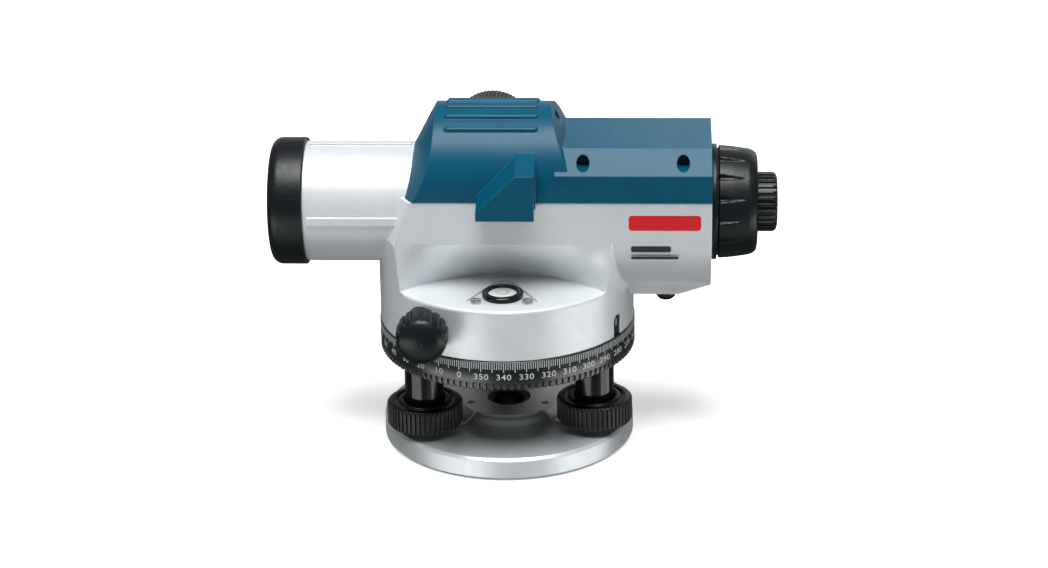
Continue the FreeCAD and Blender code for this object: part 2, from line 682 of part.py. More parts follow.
def top_cover():
    """Moulded cover: arched hood over the telescope, low rear part, and the prism's hood in front."""
    length = BODY_END - REAR_COVER_X
    rear = rear_cover_section(0, 0, 0).extrude(X * length)
    cover = fused([hood(), rear, prism_hood()])
    wall = COVER_WALL
    inside = rear_cover_section(wall, 1.0, 1.2).extrude(X * (length - wall))
    front_room = arch(COVER_HALF - wall, -29.5, REAR_COVER_X + 1, BODY_TOP - 1)
    front_room = front_room.common(block((-30, REAR_COVER_X + 1), (-DRUM_R, DRUM_R), (BODY_TOP - 1, 137.0)))
    front_room = front_room.common(leaning_cylinder(BODY_TOP - 1, HOOD_Z + COVER_HALF, 11, HOOD_LEAN))
    cover = cover.cut(inside).cut(front_room).cut(prism_room())
    cover = cover.cut(rod_x(TUBE_R + GAP, -DRUM_R, REAR_COVER_X))
    cover = cover.cut(rod_x(REAR_TUBE_R + GAP, 0, BODY_END + 1))
    bosses = []
    for x in COVER_SCREW_X:
        bosses.append(rod_y(4.4, 14.0, COVER_HALF, x, COVER_SCREW_Z))
        bosses.append(rod_y(4.4, -COVER_HALF, -14.0, x, COVER_SCREW_Z))
    bosses = [boss.common(rear) for boss in bosses]
    cover = fused([cover] + bosses)
    tunnel = block((-DRUM_R, REAR_COVER_X + 12), (-HOOD_TUNNEL_HALF, HOOD_TUNNEL_HALF), HOOD_TUNNEL_Z)
    cover = cover.cut(tunnel)
    for x in COVER_SCREW_X:
        cover = cover.cut(rod_y(1.5, -COVER_HALF, COVER_HALF, x, COVER_SCREW_Z))
        cover = cover.cut(rod_y(COVER_SCREW_HOLE_R, -COVER_HALF, -17.0, x, COVER_SCREW_Z))
        cover = cover.cut(rod_y(COVER_SCREW_HOLE_R, 17.0, COVER_HALF, x, COVER_SCREW_Z))
    cover = cover.cut(rod_y(6.0, 15, COVER_HALF + 1, FOCUS_X, FOCUS_Z))
    return cover.removeSplitter()


def cover_screws():
    screws = []
    for x in COVER_SCREW_X:
        for side in (-1, 1):
            start = 10.0 if side > 0 else -17.0
            head = 17.0 if side > 0 else -19.0
            shank = rod_y(1.5, start, start + 7.0, x, COVER_SCREW_Z)
            screws.append(shank.fuse(rod_y(2.5, head, head + 2.0, x, COVER_SCREW_Z)).removeSplitter())
    return screws


def cover_bracket():
    """Sheet channel on the compensator frame that the cover's screws pull against."""
    floor = block((29, 80), (-13.8, 13.8), (FRAME_TOP, FRAME_TOP + 1.5))
    walls = [block((29, 80), (side * 12.8 - 1.0, side * 12.8 + 1.0), (FRAME_TOP, 134.2)) for side in (-1, 1)]
    bracket = fused([floor] + walls)
    for x in COVER_SCREW_X:
        bracket = bracket.cut(rod_y(1.5, -20, 20, x, COVER_SCREW_Z))
    return bracket


def level_prism():
    """Right-angle prism that turns the view of the circular level towards the eyepiece."""
    low_x = PRISM_X[0] + 3.2
    high_x = PRISM_CUT[0] + 0.6
    low_z = PRISM_CUT[1] - 1.8
    side = [at(low_x, 0, low_z), at(high_x, 0, low_z), at(high_x, 0, low_z + (high_x - low_x) * 0.88)]
    return moved(outline(side).extrude(Y * (PRISM_Y[1] - PRISM_Y[0] - 3.0)), 0, PRISM_Y[0] + 2.5)


# ---- circular level ----------------------------------------------------------------------------------

def level_recess(bottom, top, extra):
    """Rounded triangle through the two adjusting screws and the rear foot."""
    radius = LEVEL_SCREW_R + 1.6 + extra
    points = LEVEL_SCREWS + (LEVEL_PIVOT,)
    corners = [at(x, y, bottom) for x, y in points]
    plate = outline(corners).extrude(Z * (top - bottom))
    solids = [plate, post(LEVEL_RING_R + 0.9 + extra, bottom, top, 0, LEVEL_Y)]
    for i, (x, y) in enumerate(points):
        solids.append(post(radius, bottom, top, x, y))
        other_x, other_y = points[(i + 1) % len(points)]
        length = math.hypot(other_x - x, other_y - y)
        arm = Part.makeBox(length, 2 * radius, top - bottom, at(0, -radius, bottom))
        arm.rotate(at(0, 0, 0), Z, math.degrees(math.atan2(other_y - y, other_x - x)))
        arm.translate(at(x, y, 0))
        solids.append(arm)
    return fused(solids)


def level_holder():
    low = DRUM_TOP - LEVEL_DEPTH
    top = low + LEVEL_PLATE_T
    holder = level_recess(low, top, 0)
    holder = holder.cut(post(LEVEL_GLASS_R + 1.3, 0, DRUM_TOP + 1, 0, LEVEL_Y))
    for x, y in LEVEL_SCREWS:
        holder = holder.cut(post(1.2, 0, DRUM_TOP + 1, x, y))
    return holder


def level_ring():
    low = DRUM_TOP - LEVEL_DEPTH + LEVEL_PLATE_T
    ring_body = ring(LEVEL_RING_R, LEVEL_GLASS_R, low, DRUM_TOP + 1.5, 0, LEVEL_Y)
    cup = ring(LEVEL_GLASS_R + 1.3, LEVEL_GLASS_R, DRUM_CEILING - 1.5, low, 0, LEVEL_Y)
    return ring_body.fuse(cup).removeSplitter()


def level_vial():
    return post(LEVEL_GLASS_R, DRUM_CEILING - 1.5, DRUM_TOP + 1.2, 0, LEVEL_Y)


def cross_slot(x, y, top):
    """Cross-shaped slot of a screw driver, cut down from a head's top."""
    reach = LEVEL_SCREW_R - 0.7
    half = SLOT_WIDTH / 2
    along = block((x - reach, x + reach), (y - half, y + half), (top - 0.6, top + 1))
    across = block((x - half, x + half), (y - reach, y + reach), (top - 0.6, top + 1))
    return along.fuse(across).removeSplitter()


def level_screws():
    seat = DRUM_TOP - LEVEL_DEPTH + LEVEL_PLATE_T
    top = DRUM_TOP + 0.6
    screws = []
    for x, y in LEVEL_SCREWS:
        head = post(LEVEL_SCREW_R, seat, top, x, y).cut(cross_slot(x, y, top))
        screws.append(head.fuse(post(1.2, DRUM_CEILING - 0.5, seat, x, y)).removeSplitter())
    return screws


# ---- telescope -----------------------------------------------------------------------------------------

def objective_bezel():
    """Dark ring over the end of the tube, rounded at the front, with a shallow inner cone."""
    back = TUBE_FRONT
    front = BEZEL_FRONT
    round_r = 4.5
    corner = at(front + round_r, BEZEL_R - round_r, AXIS_Z)
    middle = corner + at(-round_r * math.cos(math.pi / 4), round_r * math.sin(math.pi / 4), 0)
    face_edge = at(front, BEZEL_R - round_r, AXIS_Z)
    side_edge = at(front + round_r, BEZEL_R, AXIS_Z)
    arc = Part.Arc(face_edge, middle, side_edge).toShape()
    points = [side_edge, at(back, BEZEL_R, AXIS_Z), at(back, BORE_R, AXIS_Z), at(back - 9, BORE_R, AXIS_Z),
              at(back - 9, 19.4, AXIS_Z), at(front, 20.6, AXIS_Z), face_edge]
    edges = [arc] + [Part.makeLine(points[i], points[i + 1]) for i in range(len(points) - 1)]
    return Part.Face(Part.Wire(Part.__sortEdges__(edges))).revolve(at(0, 0, AXIS_Z), X, 360)


def objective_cell():
    front = TUBE_FRONT - 9
    cell = ring_x(BORE_R, 19.4, front, front + 20)
    return cell.fuse(ring_x(BORE_R, 17.5, front + 12, front + 14)).removeSplitter()


def objective_lenses():
    """Crown and flint lenses of the objective."""
    crown = lens_x(LENS_R, TUBE_FRONT - 7.6, TUBE_FRONT - 2.6, 1.6, 0.9)
    flint = lens_x(LENS_R, TUBE_FRONT - 1.0, TUBE_FRONT + 2.8, -1.2, 0.2)
    return [crown, flint]


def compensator_frame():
    """Ring-shaped frame in the bore, with the window that the pendulum hangs in."""
    body = rod_x(BORE_R, FRAME_X[0], FRAME_X[1]).common(block(FRAME_X, (-BORE_R, BORE_R), (80, FRAME_TOP)))
    body = body.cut(block((FRAME_X[0] - 1, FRAME_X[1] + 1), (-WINDOW_HALF, WINDOW_HALF), WINDOW_Z))
    for side in (-1, 1):
        body = body.cut(rod_x(GUIDE_ROD_R, FRAME_X[0] - 1, FRAME_X[0] + 4, side * GUIDE_ROD_Y))
    pedestals = []
    for x0, x1 in fixed_prism_spans():
        pedestals.append(block((x0, x1), (-6, 6), (WINDOW_Z[0] - 1, AXIS_Z - FIXED_PRISM_HALF)))
    return fused([body] + pedestals)


def fixed_prism_spans():
    """Where the two fixed prisms stand along the axis, in front of the pendulum and behind it."""
    gap = 0.6
    return ((FRAME_X[0], PENDULUM_X[0] - gap), (PENDULUM_X[1] + gap, FRAME_X[1]))


def pendulum_block():
    y = (-PENDULUM_HALF, PENDULUM_HALF)
    body = block(PENDULUM_X, y, PENDULUM_Z)
    height = (PENDULUM_Z[0] + 2.5, PENDULUM_Z[1] - 2.5)
    room = block((PENDULUM_X[0] + 2, PENDULUM_X[1] - 2), (-7.5, 7.5), height)
    return body.cut(room).cut(rod_x(6.5, PENDULUM_X[0] - 1, PENDULUM_X[1] + 1))


def pendulum_prism():
    x0 = PENDULUM_X[0] + 2.3
    x1 = PENDULUM_X[1] - 2.3
    low = PENDULUM_Z[0] + 2.8
    high = PENDULUM_Z[1] - 2.8
    middle = (x0 + x1) / 2
    side = [at(x0, 0, low), at(x1, 0, low), at(x1, 0, high - 5), at(middle, 0, high), at(x0, 0, high - 5)]
    return moved(outline(side).extrude(Y * 14.0), 0, -7.0)


def suspension_wires():
    wires = []
    for x in (PENDULUM_X[0] + 3, PENDULUM_X[1] - 3):
        for y in (-PENDULUM_HALF + 2, PENDULUM_HALF - 2):
            wires.append(post(0.2, PENDULUM_Z[1], WINDOW_Z[1] - 0.1, x, y))
    return wires


def fixed_prisms():
    """Two prisms cemented on the frame's pedestals."""
    half = FIXED_PRISM_HALF
    return [block(span, (-half, half), (AXIS_Z - half, AXIS_Z + half)) for span in fixed_prism_spans()]


def damper_magnet():
    return block((32, 40), (-4, 4), (WINDOW_Z[0], WINDOW_Z[0] + 2.4))


def focus_guide_rods():
    return [rod_x(GUIDE_ROD_R, GUIDE_RING_X[0], FRAME_X[0] + 4, side * GUIDE_ROD_Y) for side in (-1, 1)]


def focus_carriage():
    """Lens carriage on two guide rods, with the rack bar over it."""
    front, back = CARRIAGE_X
    barrel = rod_x(CARRIAGE_R, front, back)
    lugs = [rod_x(GUIDE_ROD_R + 1.8, front, back, side * GUIDE_ROD_Y) for side in (-1, 1)]
    rack_top = FOCUS_Z - PINION_R - 0.1
    rack = block((front, RACK_END), RACK_Y, (rack_top - 2.0, rack_top))
    foot = block((front, front + 8), (RACK_Y[0], 13.0), (110, rack_top - 1))
    body = fused([barrel] + lugs + [rack, foot]).cut(rod_x(CARRIAGE_BORE, front - 1, back + 1))
    for side in (-1, 1):
        body = body.cut(rod_x(GUIDE_ROD_R + RUN, front - 1, back + 1, side * GUIDE_ROD_Y))
    return body


def focus_shaft():
    pinion = rod_y(PINION_R, RACK_Y[0], RACK_Y[1], FOCUS_X, FOCUS_Z)
    return pinion.fuse(rod_y(2.0, RACK_Y[1], FOCUS_KNOB_Y[1] - 3, FOCUS_X, FOCUS_Z)).removeSplitter()


def focus_bush():
    body = rod_y(6.0, 20.0, 30.8, FOCUS_X, FOCUS_Z)
    return body.cut(rod_y(2.0 + RUN, 19.0, 32.0, FOCUS_X, FOCUS_Z))


def focus_knob():
    near, far = FOCUS_KNOB_Y
    body = rod_y(FOCUS_KNOB_R, near, far - 2, FOCUS_X, FOCUS_Z)
    cap = Part.makeCone(FOCUS_KNOB_R, FOCUS_KNOB_R - 2, 2.0, at(FOCUS_X, far - 2, FOCUS_Z), Y)
    body = body.fuse(cap)
    groove = rod_y(1.0, near - 1, far - 3, FOCUS_X + FOCUS_KNOB_R + 0.45, FOCUS_Z)
    body = body.cut(Part.makeCompound(around(groove, FOCUS_FLUTES, at(FOCUS_X, 0, FOCUS_Z), Y)))
    return body.cut(rod_y(2.0, near - 1, far - 3, FOCUS_X, FOCUS_Z)).removeSplitter()


# ---- eyepiece end ---------------------------------------------------------------------------------------

def rear_tube():
    tube = ring_x(REAR_TUBE_R, REAR_TUBE_BORE, *REAR_TUBE_X)
    for screw in reticle_screws():
        tube = tube.cut(screw)
    return tube


def reticle_cell():
    cell = ring_x(9.6, 7.2, 52, 56)
    for screw in reticle_screws():
        cell = cell.cut(screw)
    return cell


def reticle_glass():
    return rod_x(7.2, 53, 55)


def reticle_screws():
    screw = Part.makeCylinder(0.9, 6.2, at(54, 0, AXIS_Z + 8.4), Z)
    return around(screw, 4, at(0, 0, AXIS_Z), X)


def eyepiece_barrel():
    slide = ring_x(REAR_TUBE_BORE - RUN, 8.0, 60, 106.4)
    nose = ring_x(9.0, 7.4, 100, 114.0)
    return slide.fuse(nose).removeSplitter()


def dioptre_ring():
    """Focusing ring of the eyepiece, with a skirt inside the end of the cover."""
    end = DIOPTRE_END
    skirt = 104.4
    profile = [(11.0, skirt), (DIOPTRE_R, skirt), (DIOPTRE_R, end - 2.5), (DIOPTRE_R - 0.7, end - 0.9),
               (DIOPTRE_R - 2.4, end), (6.4, end), (6.4, 114.1), (9.0 + RUN, 114.1), (9.0 + RUN, 106.7),
               (11.0, 106.7)]
    return turned_x(profile)


def eyepiece_cover():
    """Fluted, tapering cover over the reticle's adjusting screws, screwed onto the rear tube."""
    x0, x1 = EYE_COVER_X
    r0, r1 = EYE_COVER_R
    profile = [(REAR_TUBE_R, x0), (r0, x0), (r1 + 0.6, x1 - 4.5), (r1 - 0.6, x1 - 1.8), (r1 - 3.0, x1),
               (DIOPTRE_R + 0.5, x1), (DIOPTRE_R + 0.5, 102.4), (REAR_TUBE_R, 102.4)]
    body = turned_x(profile)
    flute = Part.makeCone(1.7, 0.9, 12.5, at(x0 - 1, 0, AXIS_Z + r0 + 0.7), at(1, 0, -0.16))
    flutes = around(flute, EYE_FLUTES, at(0, 0, AXIS_Z), X)
    flange = ring_x(FLANGE_R, REAR_TUBE_R, *FLANGE_X)
    return fused([body.cut(Part.makeCompound(flutes)), flange])


# ---- drive ----------------------------------------------------------------------------------------------

def drive_shaft():
    """One shaft across the drum, with the worm in its middle."""
    shaft = rod_y(DRIVE_SHAFT_R, -DRIVE_KNOB_OUT + 4, DRIVE_KNOB_OUT - 4, DRIVE_X, DRIVE_Z)
    return shaft.fuse(rod_y(WORM_R, -WORM_HALF, WORM_HALF, DRIVE_X, DRIVE_Z)).removeSplitter()


def drive_bush(side):
    """Collar in the drum's wall that carries one end of the shaft."""
    low = min(side * DRIVE_BUSH_IN, side * DRIVE_BUSH_OUT)
    length = DRIVE_BUSH_OUT - DRIVE_BUSH_IN
    body = rod_y(DRIVE_BUSH_R - 1.2, low, low + length, DRIVE_X, DRIVE_Z)
    drum = post(DRUM_R, DRUM_BOTTOM, DRUM_TOP + 9)
    collar = rod_y(DRIVE_BUSH_R, low, low + length, DRIVE_X, DRIVE_Z).cut(drum)
    body = fused([body, collar])
    return body.cut(rod_y(DRIVE_SHAFT_R + RUN, -DRIVE_KNOB_OUT, DRIVE_KNOB_OUT, DRIVE_X, DRIVE_Z))


def drive_knob(side):
    """Fluted knob with a domed end."""
    near = DRIVE_KNOB_IN
    far = DRIVE_KNOB_OUT
    radius = DRIVE_KNOB_R
    face = [(DRIVE_SHAFT_R, near), (radius - 1.2, near), (radius, near + 1.5), (radius, far - 7.0),
            (radius - 1.2, far - 3.2), (radius - 4.5, far - 0.8), (0, far), (0, far - 4),
            (DRIVE_SHAFT_R, far - 4)]
    points = [at(DRIVE_X + r, h * side, DRIVE_Z) for r, h in face]
    body = outline(points).revolve(at(DRIVE_X, 0, DRIVE_Z), Y, 360)
    low = min(side * (near - 1), side * (far - 6.5))
    flute = rod_y(DRIVE_FLUTE_R, low, low + far - near - 5.5, DRIVE_X + radius + DRIVE_FLUTE_R * 0.3, DRIVE_Z)
    flutes = around(flute, DRIVE_FLUTES, at(DRIVE_X, 0, DRIVE_Z), Y)
    return body.cut(Part.makeCompound(flutes))


# ---- check button -----------------------------------------------------------------------------------------

def check_button():
    """Push button under the trough that taps the pendulum to show that it swings."""
    head = post(BUTTON_R, BUTTON_BOTTOM, BUTTON_HEAD_TOP, BUTTON_X)
    stem = post(BUTTON_STEM_R, BUTTON_HEAD_TOP, BUTTON_GUIDE_TOP + 2.0, BUTTON_X)
    clip = post(BUTTON_STEM_R + 1.0, BUTTON_GUIDE_TOP + 0.3, BUTTON_GUIDE_TOP + 1.1, BUTTON_X)
    return fused([head, stem, clip])


def button_spring():
    return ring(BUTTON_R - 0.6, BUTTON_STEM_R + 0.8, BUTTON_HEAD_TOP, BUTTON_GUIDE_TOP - 1.8, BUTTON_X)


def main():
    os.makedirs("parts", exist_ok=True)
    save("base_plate", base_plate())
    save("foot_spring_plate", foot_spring_plate())
    save_group("spring_plate_rivets", spring_plate_rivets())
    save("rear_ball_seat", rear_ball_seat())
    for name, angle in FOOT_ANGLES.items():
        x, y = polar(FOOT_RING, angle)
        save("foot_cup_" + name, foot_cup(x, y))
        save("foot_screw_" + name, foot_screw(x, y))
        save("foot_knob_" + name, foot_knob(x, y))
    save("tribrach_plate", tribrach_plate())
    save_group("foot_sleeves", foot_sleeves())
    save_group("foot_nuts", foot_nuts())
    save("spindle_socket", spindle_socket())
    save("horizontal_circle", horizontal_circle())
    save("worm_wheel", worm_wheel())

    save("main_housing", main_housing())
    save("index_block", index_block())
    save("spindle", spindle().cut(Part.makeCompound(spindle_screws())))
    save("spindle_nut", spindle_nut())
    save_group("spindle_screws", spindle_screws())
    save("top_cover", top_cover())
    save_group("cover_screws", cover_screws())
    save("cover_bracket", cover_bracket())
    save("level_prism", level_prism())
    save("level_holder", level_holder())
    save("level_ring", level_ring())
    save("level_vial", level_vial())
    save_group("level_screws", level_screws())

    save("objective_bezel", objective_bezel())
    save("objective_cell", objective_cell())
    save_group("objective_lenses", objective_lenses())
    save_group("focus_guide_rods", focus_guide_rods())
    save("focus_carriage", focus_carriage())
    save("focus_lens", lens_x(CARRIAGE_BORE, -30.0, -26.0, -0.8, -0.8))
    save("focus_shaft", focus_shaft())
    save("focus_bush", focus_bush())
    save("focus_knob", focus_knob())
    save("compensator_frame", compensator_frame())
    save_group("fixed_prisms", fixed_prisms())
    save("damper_magnet", damper_magnet())
    save("pendulum_block", pendulum_block())
    save("pendulum_prism", pendulum_prism())
    save_group("suspension_wires", suspension_wires())

    save("rear_tube", rear_tube())
    save("reticle_cell", reticle_cell())
    save("reticle_glass", reticle_glass())
    save_group("reticle_screws", reticle_screws())
    save("eyepiece_cover", eyepiece_cover())
    save("eyepiece_barrel", eyepiece_barrel())
    save_group("eyepiece_lenses", [lens_x(7.4, 108.5, 111.5, 0.9, 0.9), lens_x(8.0, 62, 66, 0.3, 1.1)])
    save("dioptre_ring", dioptre_ring())

    save("drive_shaft", drive_shaft())
    save_group("drive_bushes", [drive_bush(-1), drive_bush(1)])
    save_group("drive_knobs", [drive_knob(-1), drive_knob(1)])
    save("check_button", check_button())
    save("button_spring", button_spring())


main()
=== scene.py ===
import json
import math

import bmesh
import bpy
from mathutils import Matrix, Vector


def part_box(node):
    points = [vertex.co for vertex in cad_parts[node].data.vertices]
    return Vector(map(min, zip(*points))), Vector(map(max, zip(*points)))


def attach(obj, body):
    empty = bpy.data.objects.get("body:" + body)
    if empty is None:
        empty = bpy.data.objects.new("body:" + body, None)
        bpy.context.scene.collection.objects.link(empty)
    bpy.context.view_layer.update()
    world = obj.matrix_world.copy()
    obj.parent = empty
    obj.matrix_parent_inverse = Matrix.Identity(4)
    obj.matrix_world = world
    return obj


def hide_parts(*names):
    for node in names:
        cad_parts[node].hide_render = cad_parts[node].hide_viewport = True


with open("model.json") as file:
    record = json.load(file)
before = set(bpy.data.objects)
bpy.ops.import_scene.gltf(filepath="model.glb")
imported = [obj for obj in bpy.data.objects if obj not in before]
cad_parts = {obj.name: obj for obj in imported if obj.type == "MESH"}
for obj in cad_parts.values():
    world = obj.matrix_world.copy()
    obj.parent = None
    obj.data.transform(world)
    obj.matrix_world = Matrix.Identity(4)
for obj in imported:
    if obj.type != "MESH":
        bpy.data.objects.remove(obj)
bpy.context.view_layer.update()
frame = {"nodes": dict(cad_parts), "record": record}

# Looks for an automatic level. Lengths below are in millimetres and are turned into metres by MM.
MM = 0.001
NODES = frame["nodes"]
BODY_OF = {node: body for body, nodes in frame["record"]["behaviour"]["bodies"].items() for node in nodes}


# ---- sizes read from the frame -------------------------------------------------------------------

def box_mm(node):
    """(low corner, high corner) of a CAD node, in millimetres."""
    low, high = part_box(node)
    return low / MM, high / MM


def middle(node):
    low, high = box_mm(node)
    return (low + high) / 2


BODY_HALF = 29.5           # half the width of the rear body
FLANK_Y = middle("cover_bracket").y - BODY_HALF
QUARTER = 90               # degrees in a quarter turn


# ---- materials -----------------------------------------------------------------------------------

class Nodes:
    """Short hand for building a node material."""

    def __init__(self, name):
        self.material = bpy.data.materials.new(name)
        self.material.use_nodes = True
        self.tree = self.material.node_tree
        self.tree.nodes.clear()
        self.shader = self.add("ShaderNodeBsdfPrincipled")
        output = self.add("ShaderNodeOutputMaterial")
        self.link(self.shader.outputs["BSDF"], output.inputs["Surface"])
        self.place = self.add("ShaderNodeTexCoord").outputs["Object"]

    def add(self, kind, **values):
        node = self.tree.nodes.new(kind)
        for key, value in values.items():
            setattr(node, key, value)
        return node

    def link(self, start, end):
        self.tree.links.new(start, end)

    def set(self, **values):
        """Constants on the shader's own sockets; underscores stand for spaces."""
        for key, value in values.items():
            self.shader.inputs[key.replace("_", " ")].default_value = value

    def stretched(self, scale):
        mapping = self.add("ShaderNodeMapping")
        mapping.inputs["Scale"].default_value = scale
        self.link(self.place, mapping.inputs["Vector"])
        return mapping.outputs["Vector"]

    def noise(self, size_mm, detail=3.0, rough=0.55, stretch=None):
        """Noise whose features are about size_mm across."""
        node = self.add("ShaderNodeTexNoise")
        node.inputs["Scale"].default_value = 1.0 / (size_mm * MM)
        node.inputs["Detail"].default_value = detail
        node.inputs["Roughness"].default_value = rough
        self.link(self.stretched(stretch) if stretch else self.place, node.inputs["Vector"])
        return node.outputs["Fac"]

    def ramp(self, value, low, high, out_low=0.0, out_high=1.0):
        node = self.add("ShaderNodeMapRange")
        node.inputs["From Min"].default_value = low
        node.inputs["From Max"].default_value = high
        node.inputs["To Min"].default_value = out_low
        node.inputs["To Max"].default_value = out_high
        self.link(value, node.inputs["Value"])
        return node.outputs["Result"]

    def mix(self, factor, first, second):
        """Colour mix; first and second are sockets or colours."""
        node = self.add("ShaderNodeMix", data_type="RGBA")
        self.link(factor, node.inputs["Factor"])
        for name, value in (("A", first), ("B", second)):
            socket = [s for s in node.inputs if s.name == name and s.type == "RGBA"][0]
            if hasattr(value, "is_output"):
                self.link(value, socket)
            else:
                socket.default_value = (*value, 1.0)
        return [s for s in node.outputs if s.type == "RGBA"][0]

    def math(self, operation, first, second):
        node = self.add("ShaderNodeMath", operation=operation)
        for index, value in enumerate((first, second)):
            if hasattr(value, "is_output"):
                self.link(value, node.inputs[index])
            else:
                node.inputs[index].default_value = value
        return node.outputs["Value"]

    def within(self, radius_mm):
        """1 inside a cylinder round the vertical axis, 0 outside it."""
        flat = self.add("ShaderNodeVectorMath", operation="MULTIPLY")
        flat.inputs[1].default_value = (1.0, 1.0, 0.0)
        self.link(self.place, flat.inputs[0])
        length = self.add("ShaderNodeVectorMath", operation="LENGTH")
        self.link(flat.outputs["Vector"], length.inputs[0])
        return self.ramp(length.outputs["Value"], radius_mm * MM, (radius_mm - 0.2) * MM)

    def edge_mask(self, radius_mm):
        """1 along convex and concave edges, 0 on open faces."""
        bevel = self.add("ShaderNodeBevel", samples=6)
        bevel.inputs["Radius"].default_value = radius_mm * MM
        geometry = self.add("ShaderNodeNewGeometry")
        dot = self.add("ShaderNodeVectorMath", operation="DOT_PRODUCT")
        self.link(bevel.outputs["Normal"], dot.inputs[0])
        self.link(geometry.outputs["Normal"], dot.inputs[1])
        return self.ramp(dot.outputs["Value"], 0.995, 0.80)

    def bump(self, height, depth_mm, rounded_mm=0.0):
        """Bump of a given depth; rounded_mm also softens the edges of the mesh."""
        node = self.add("ShaderNodeBump")
        node.inputs["Distance"].default_value = depth_mm * MM
        node.inputs["Strength"].default_value = 1.0
        self.link(height, node.inputs["Height"])
        if rounded_mm:
            bevel = self.add("ShaderNodeBevel", samples=8)
            bevel.inputs["Radius"].default_value = rounded_mm * MM
            self.link(bevel.outputs["Normal"], node.inputs["Normal"])
        self.link(node.outputs["Normal"], self.shader.inputs["Normal"])


def painted_casting():
    """Fine silver-grey powder paint over a die casting, with a painted highlight: its edges are painted
    paler.
    """
    m = Nodes("silver_paint")
    flakes = m.noise(0.35, 2.0)
    clouds = m.noise(14.0, 3.0)
    tone = m.mix(m.ramp(clouds, 0.3, 0.7), (0.60, 0.64, 0.66), (0.65, 0.69, 0.71))
    tone = m.mix(m.ramp(flakes, 0.35, 0.75, 0.0, 0.45), tone, (0.78, 0.81, 0.83))
    # painted highlight: the edges are painted almost white
    tone = m.mix(m.math("MULTIPLY", m.edge_mask(0.6), 0.7), tone, (0.93, 0.94, 0.94))
    m.link(tone, m.shader.inputs["Base Color"])
    m.link(m.ramp(m.noise(3.0, 4.0), 0.3, 0.7, 0.34, 0.42), m.shader.inputs["Roughness"])
    m.set(Metallic=0.22, Specular_IOR_Level=0.5)
    m.bump(m.noise(0.28, 2.0, 0.6), 0.012, 0.55)
    return m.material


def machined_paint():
    """The same silver finish with faint turning marks, for the round base plate; its edges carry a painted
    highlight and its middle a painted shade.
    """
    m = Nodes("silver_turned")
    rings = m.add("ShaderNodeTexWave", wave_type="RINGS", rings_direction="Z")
    rings.inputs["Scale"].default_value = 900.0
    rings.inputs["Distortion"].default_value = 0.6
    m.link(m.place, rings.inputs["Vector"])
    clouds = m.noise(11.0, 3.0)
    tone = m.mix(m.ramp(clouds, 0.3, 0.7), (0.60, 0.64, 0.66), (0.66, 0.70, 0.72))
    # painted highlight: the edges are painted paler
    tone = m.mix(m.math("MULTIPLY", m.edge_mask(0.5), 0.5), tone, (0.85, 0.85, 0.86))
    # painted shade: everything within 9.6 mm of the axis is painted near-black, so the hole above it reads
    # dark
    tone = m.mix(m.within(9.6), tone, (0.006, 0.006, 0.007))
    m.link(tone, m.shader.inputs["Base Color"])
    m.link(m.ramp(m.noise(2.0, 4.0), 0.3, 0.7, 0.30, 0.40), m.shader.inputs["Roughness"])
    m.set(Metallic=0.45)
    height = m.math("ADD", m.math("MULTIPLY", rings.outputs["Fac"], 0.15), m.noise(0.25, 2.0))
    m.bump(height, 0.010, 0.5)
    return m.material


def cover_paint():
    """Petrol-blue moulded cover with a fine spark-eroded grain, and a painted highlight along its edges."""
    m = Nodes("petrol_plastic")
    clouds = m.noise(18.0, 2.0)
    tone = m.mix(m.ramp(clouds, 0.3, 0.7), (0.000, 0.072, 0.132), (0.000, 0.082, 0.148))
    # painted highlight: the edges are painted a paler blue
    tone = m.mix(m.math("MULTIPLY", m.edge_mask(0.5), 0.5), tone, (0.05, 0.24, 0.36))
    m.link(tone, m.shader.inputs["Base Color"])
    m.link(m.ramp(m.noise(0.5, 2.0), 0.3, 0.7, 0.32, 0.40), m.shader.inputs["Roughness"])
    m.set(Specular_IOR_Level=0.22)
    m.bump(m.noise(0.22, 2.0, 0.5), 0.014, 0.5)
    return m.material


def black_plastic(name, tone_low, tone_high, rough, grain_mm=0.3, depth=0.012, rounded=0.25, edge_highlight=0.5):
    """Moulded black plastic: a faint mottle, a fine grain and edges painted grey as a painted highlight."""
    m = Nodes(name)
    cool = [(tone * 0.35, tone, tone * 1.1) for tone in (tone_low, tone_high)]
    tone = m.mix(m.ramp(m.noise(6.0, 3.0), 0.3, 0.7), *cool)
    # painted highlight: the edges are painted grey, scaled by the last argument
    tone = m.mix(m.math("MULTIPLY", m.edge_mask(0.35), edge_highlight), tone, (0.15, 0.17, 0.175))
    m.link(tone, m.shader.inputs["Base Color"])
    m.link(m.ramp(m.noise(1.2, 3.0), 0.3, 0.7, rough - 0.05, rough + 0.06), m.shader.inputs["Roughness"])
    m.set(Specular_IOR_Level=0.32)
    m.bump(m.noise(grain_mm, 2.0, 0.55), depth, rounded)
    return m.material


def rubbed_circle():
    """Black anodised ring with a painted highlight along the edges of its teeth and painted shade in its
    notches.
    """
    m = Nodes("black_circle")
    tone = m.mix(m.ramp(m.noise(4.0, 3.0), 0.3, 0.7), (0.003, 0.006, 0.007), (0.005, 0.010, 0.011))
    # painted highlight: the tooth edges are painted bright grey
    tone = m.mix(m.math("MULTIPLY", m.edge_mask(0.32), 0.9), tone, (0.42, 0.44, 0.44))
    # painted shade: the notches, inside the tooth faces, are painted near-black
    tone = m.mix(m.within(54.6), tone, (0.001, 0.002, 0.002))
    m.link(tone, m.shader.inputs["Base Color"])
    m.link(m.ramp(m.noise(1.0, 3.0), 0.3, 0.7, 0.24, 0.34), m.shader.inputs["Roughness"])
    m.set(Specular_IOR_Level=0.7)
    m.bump(m.noise(0.25, 2.0), 0.005, 0.10)
    return m.material


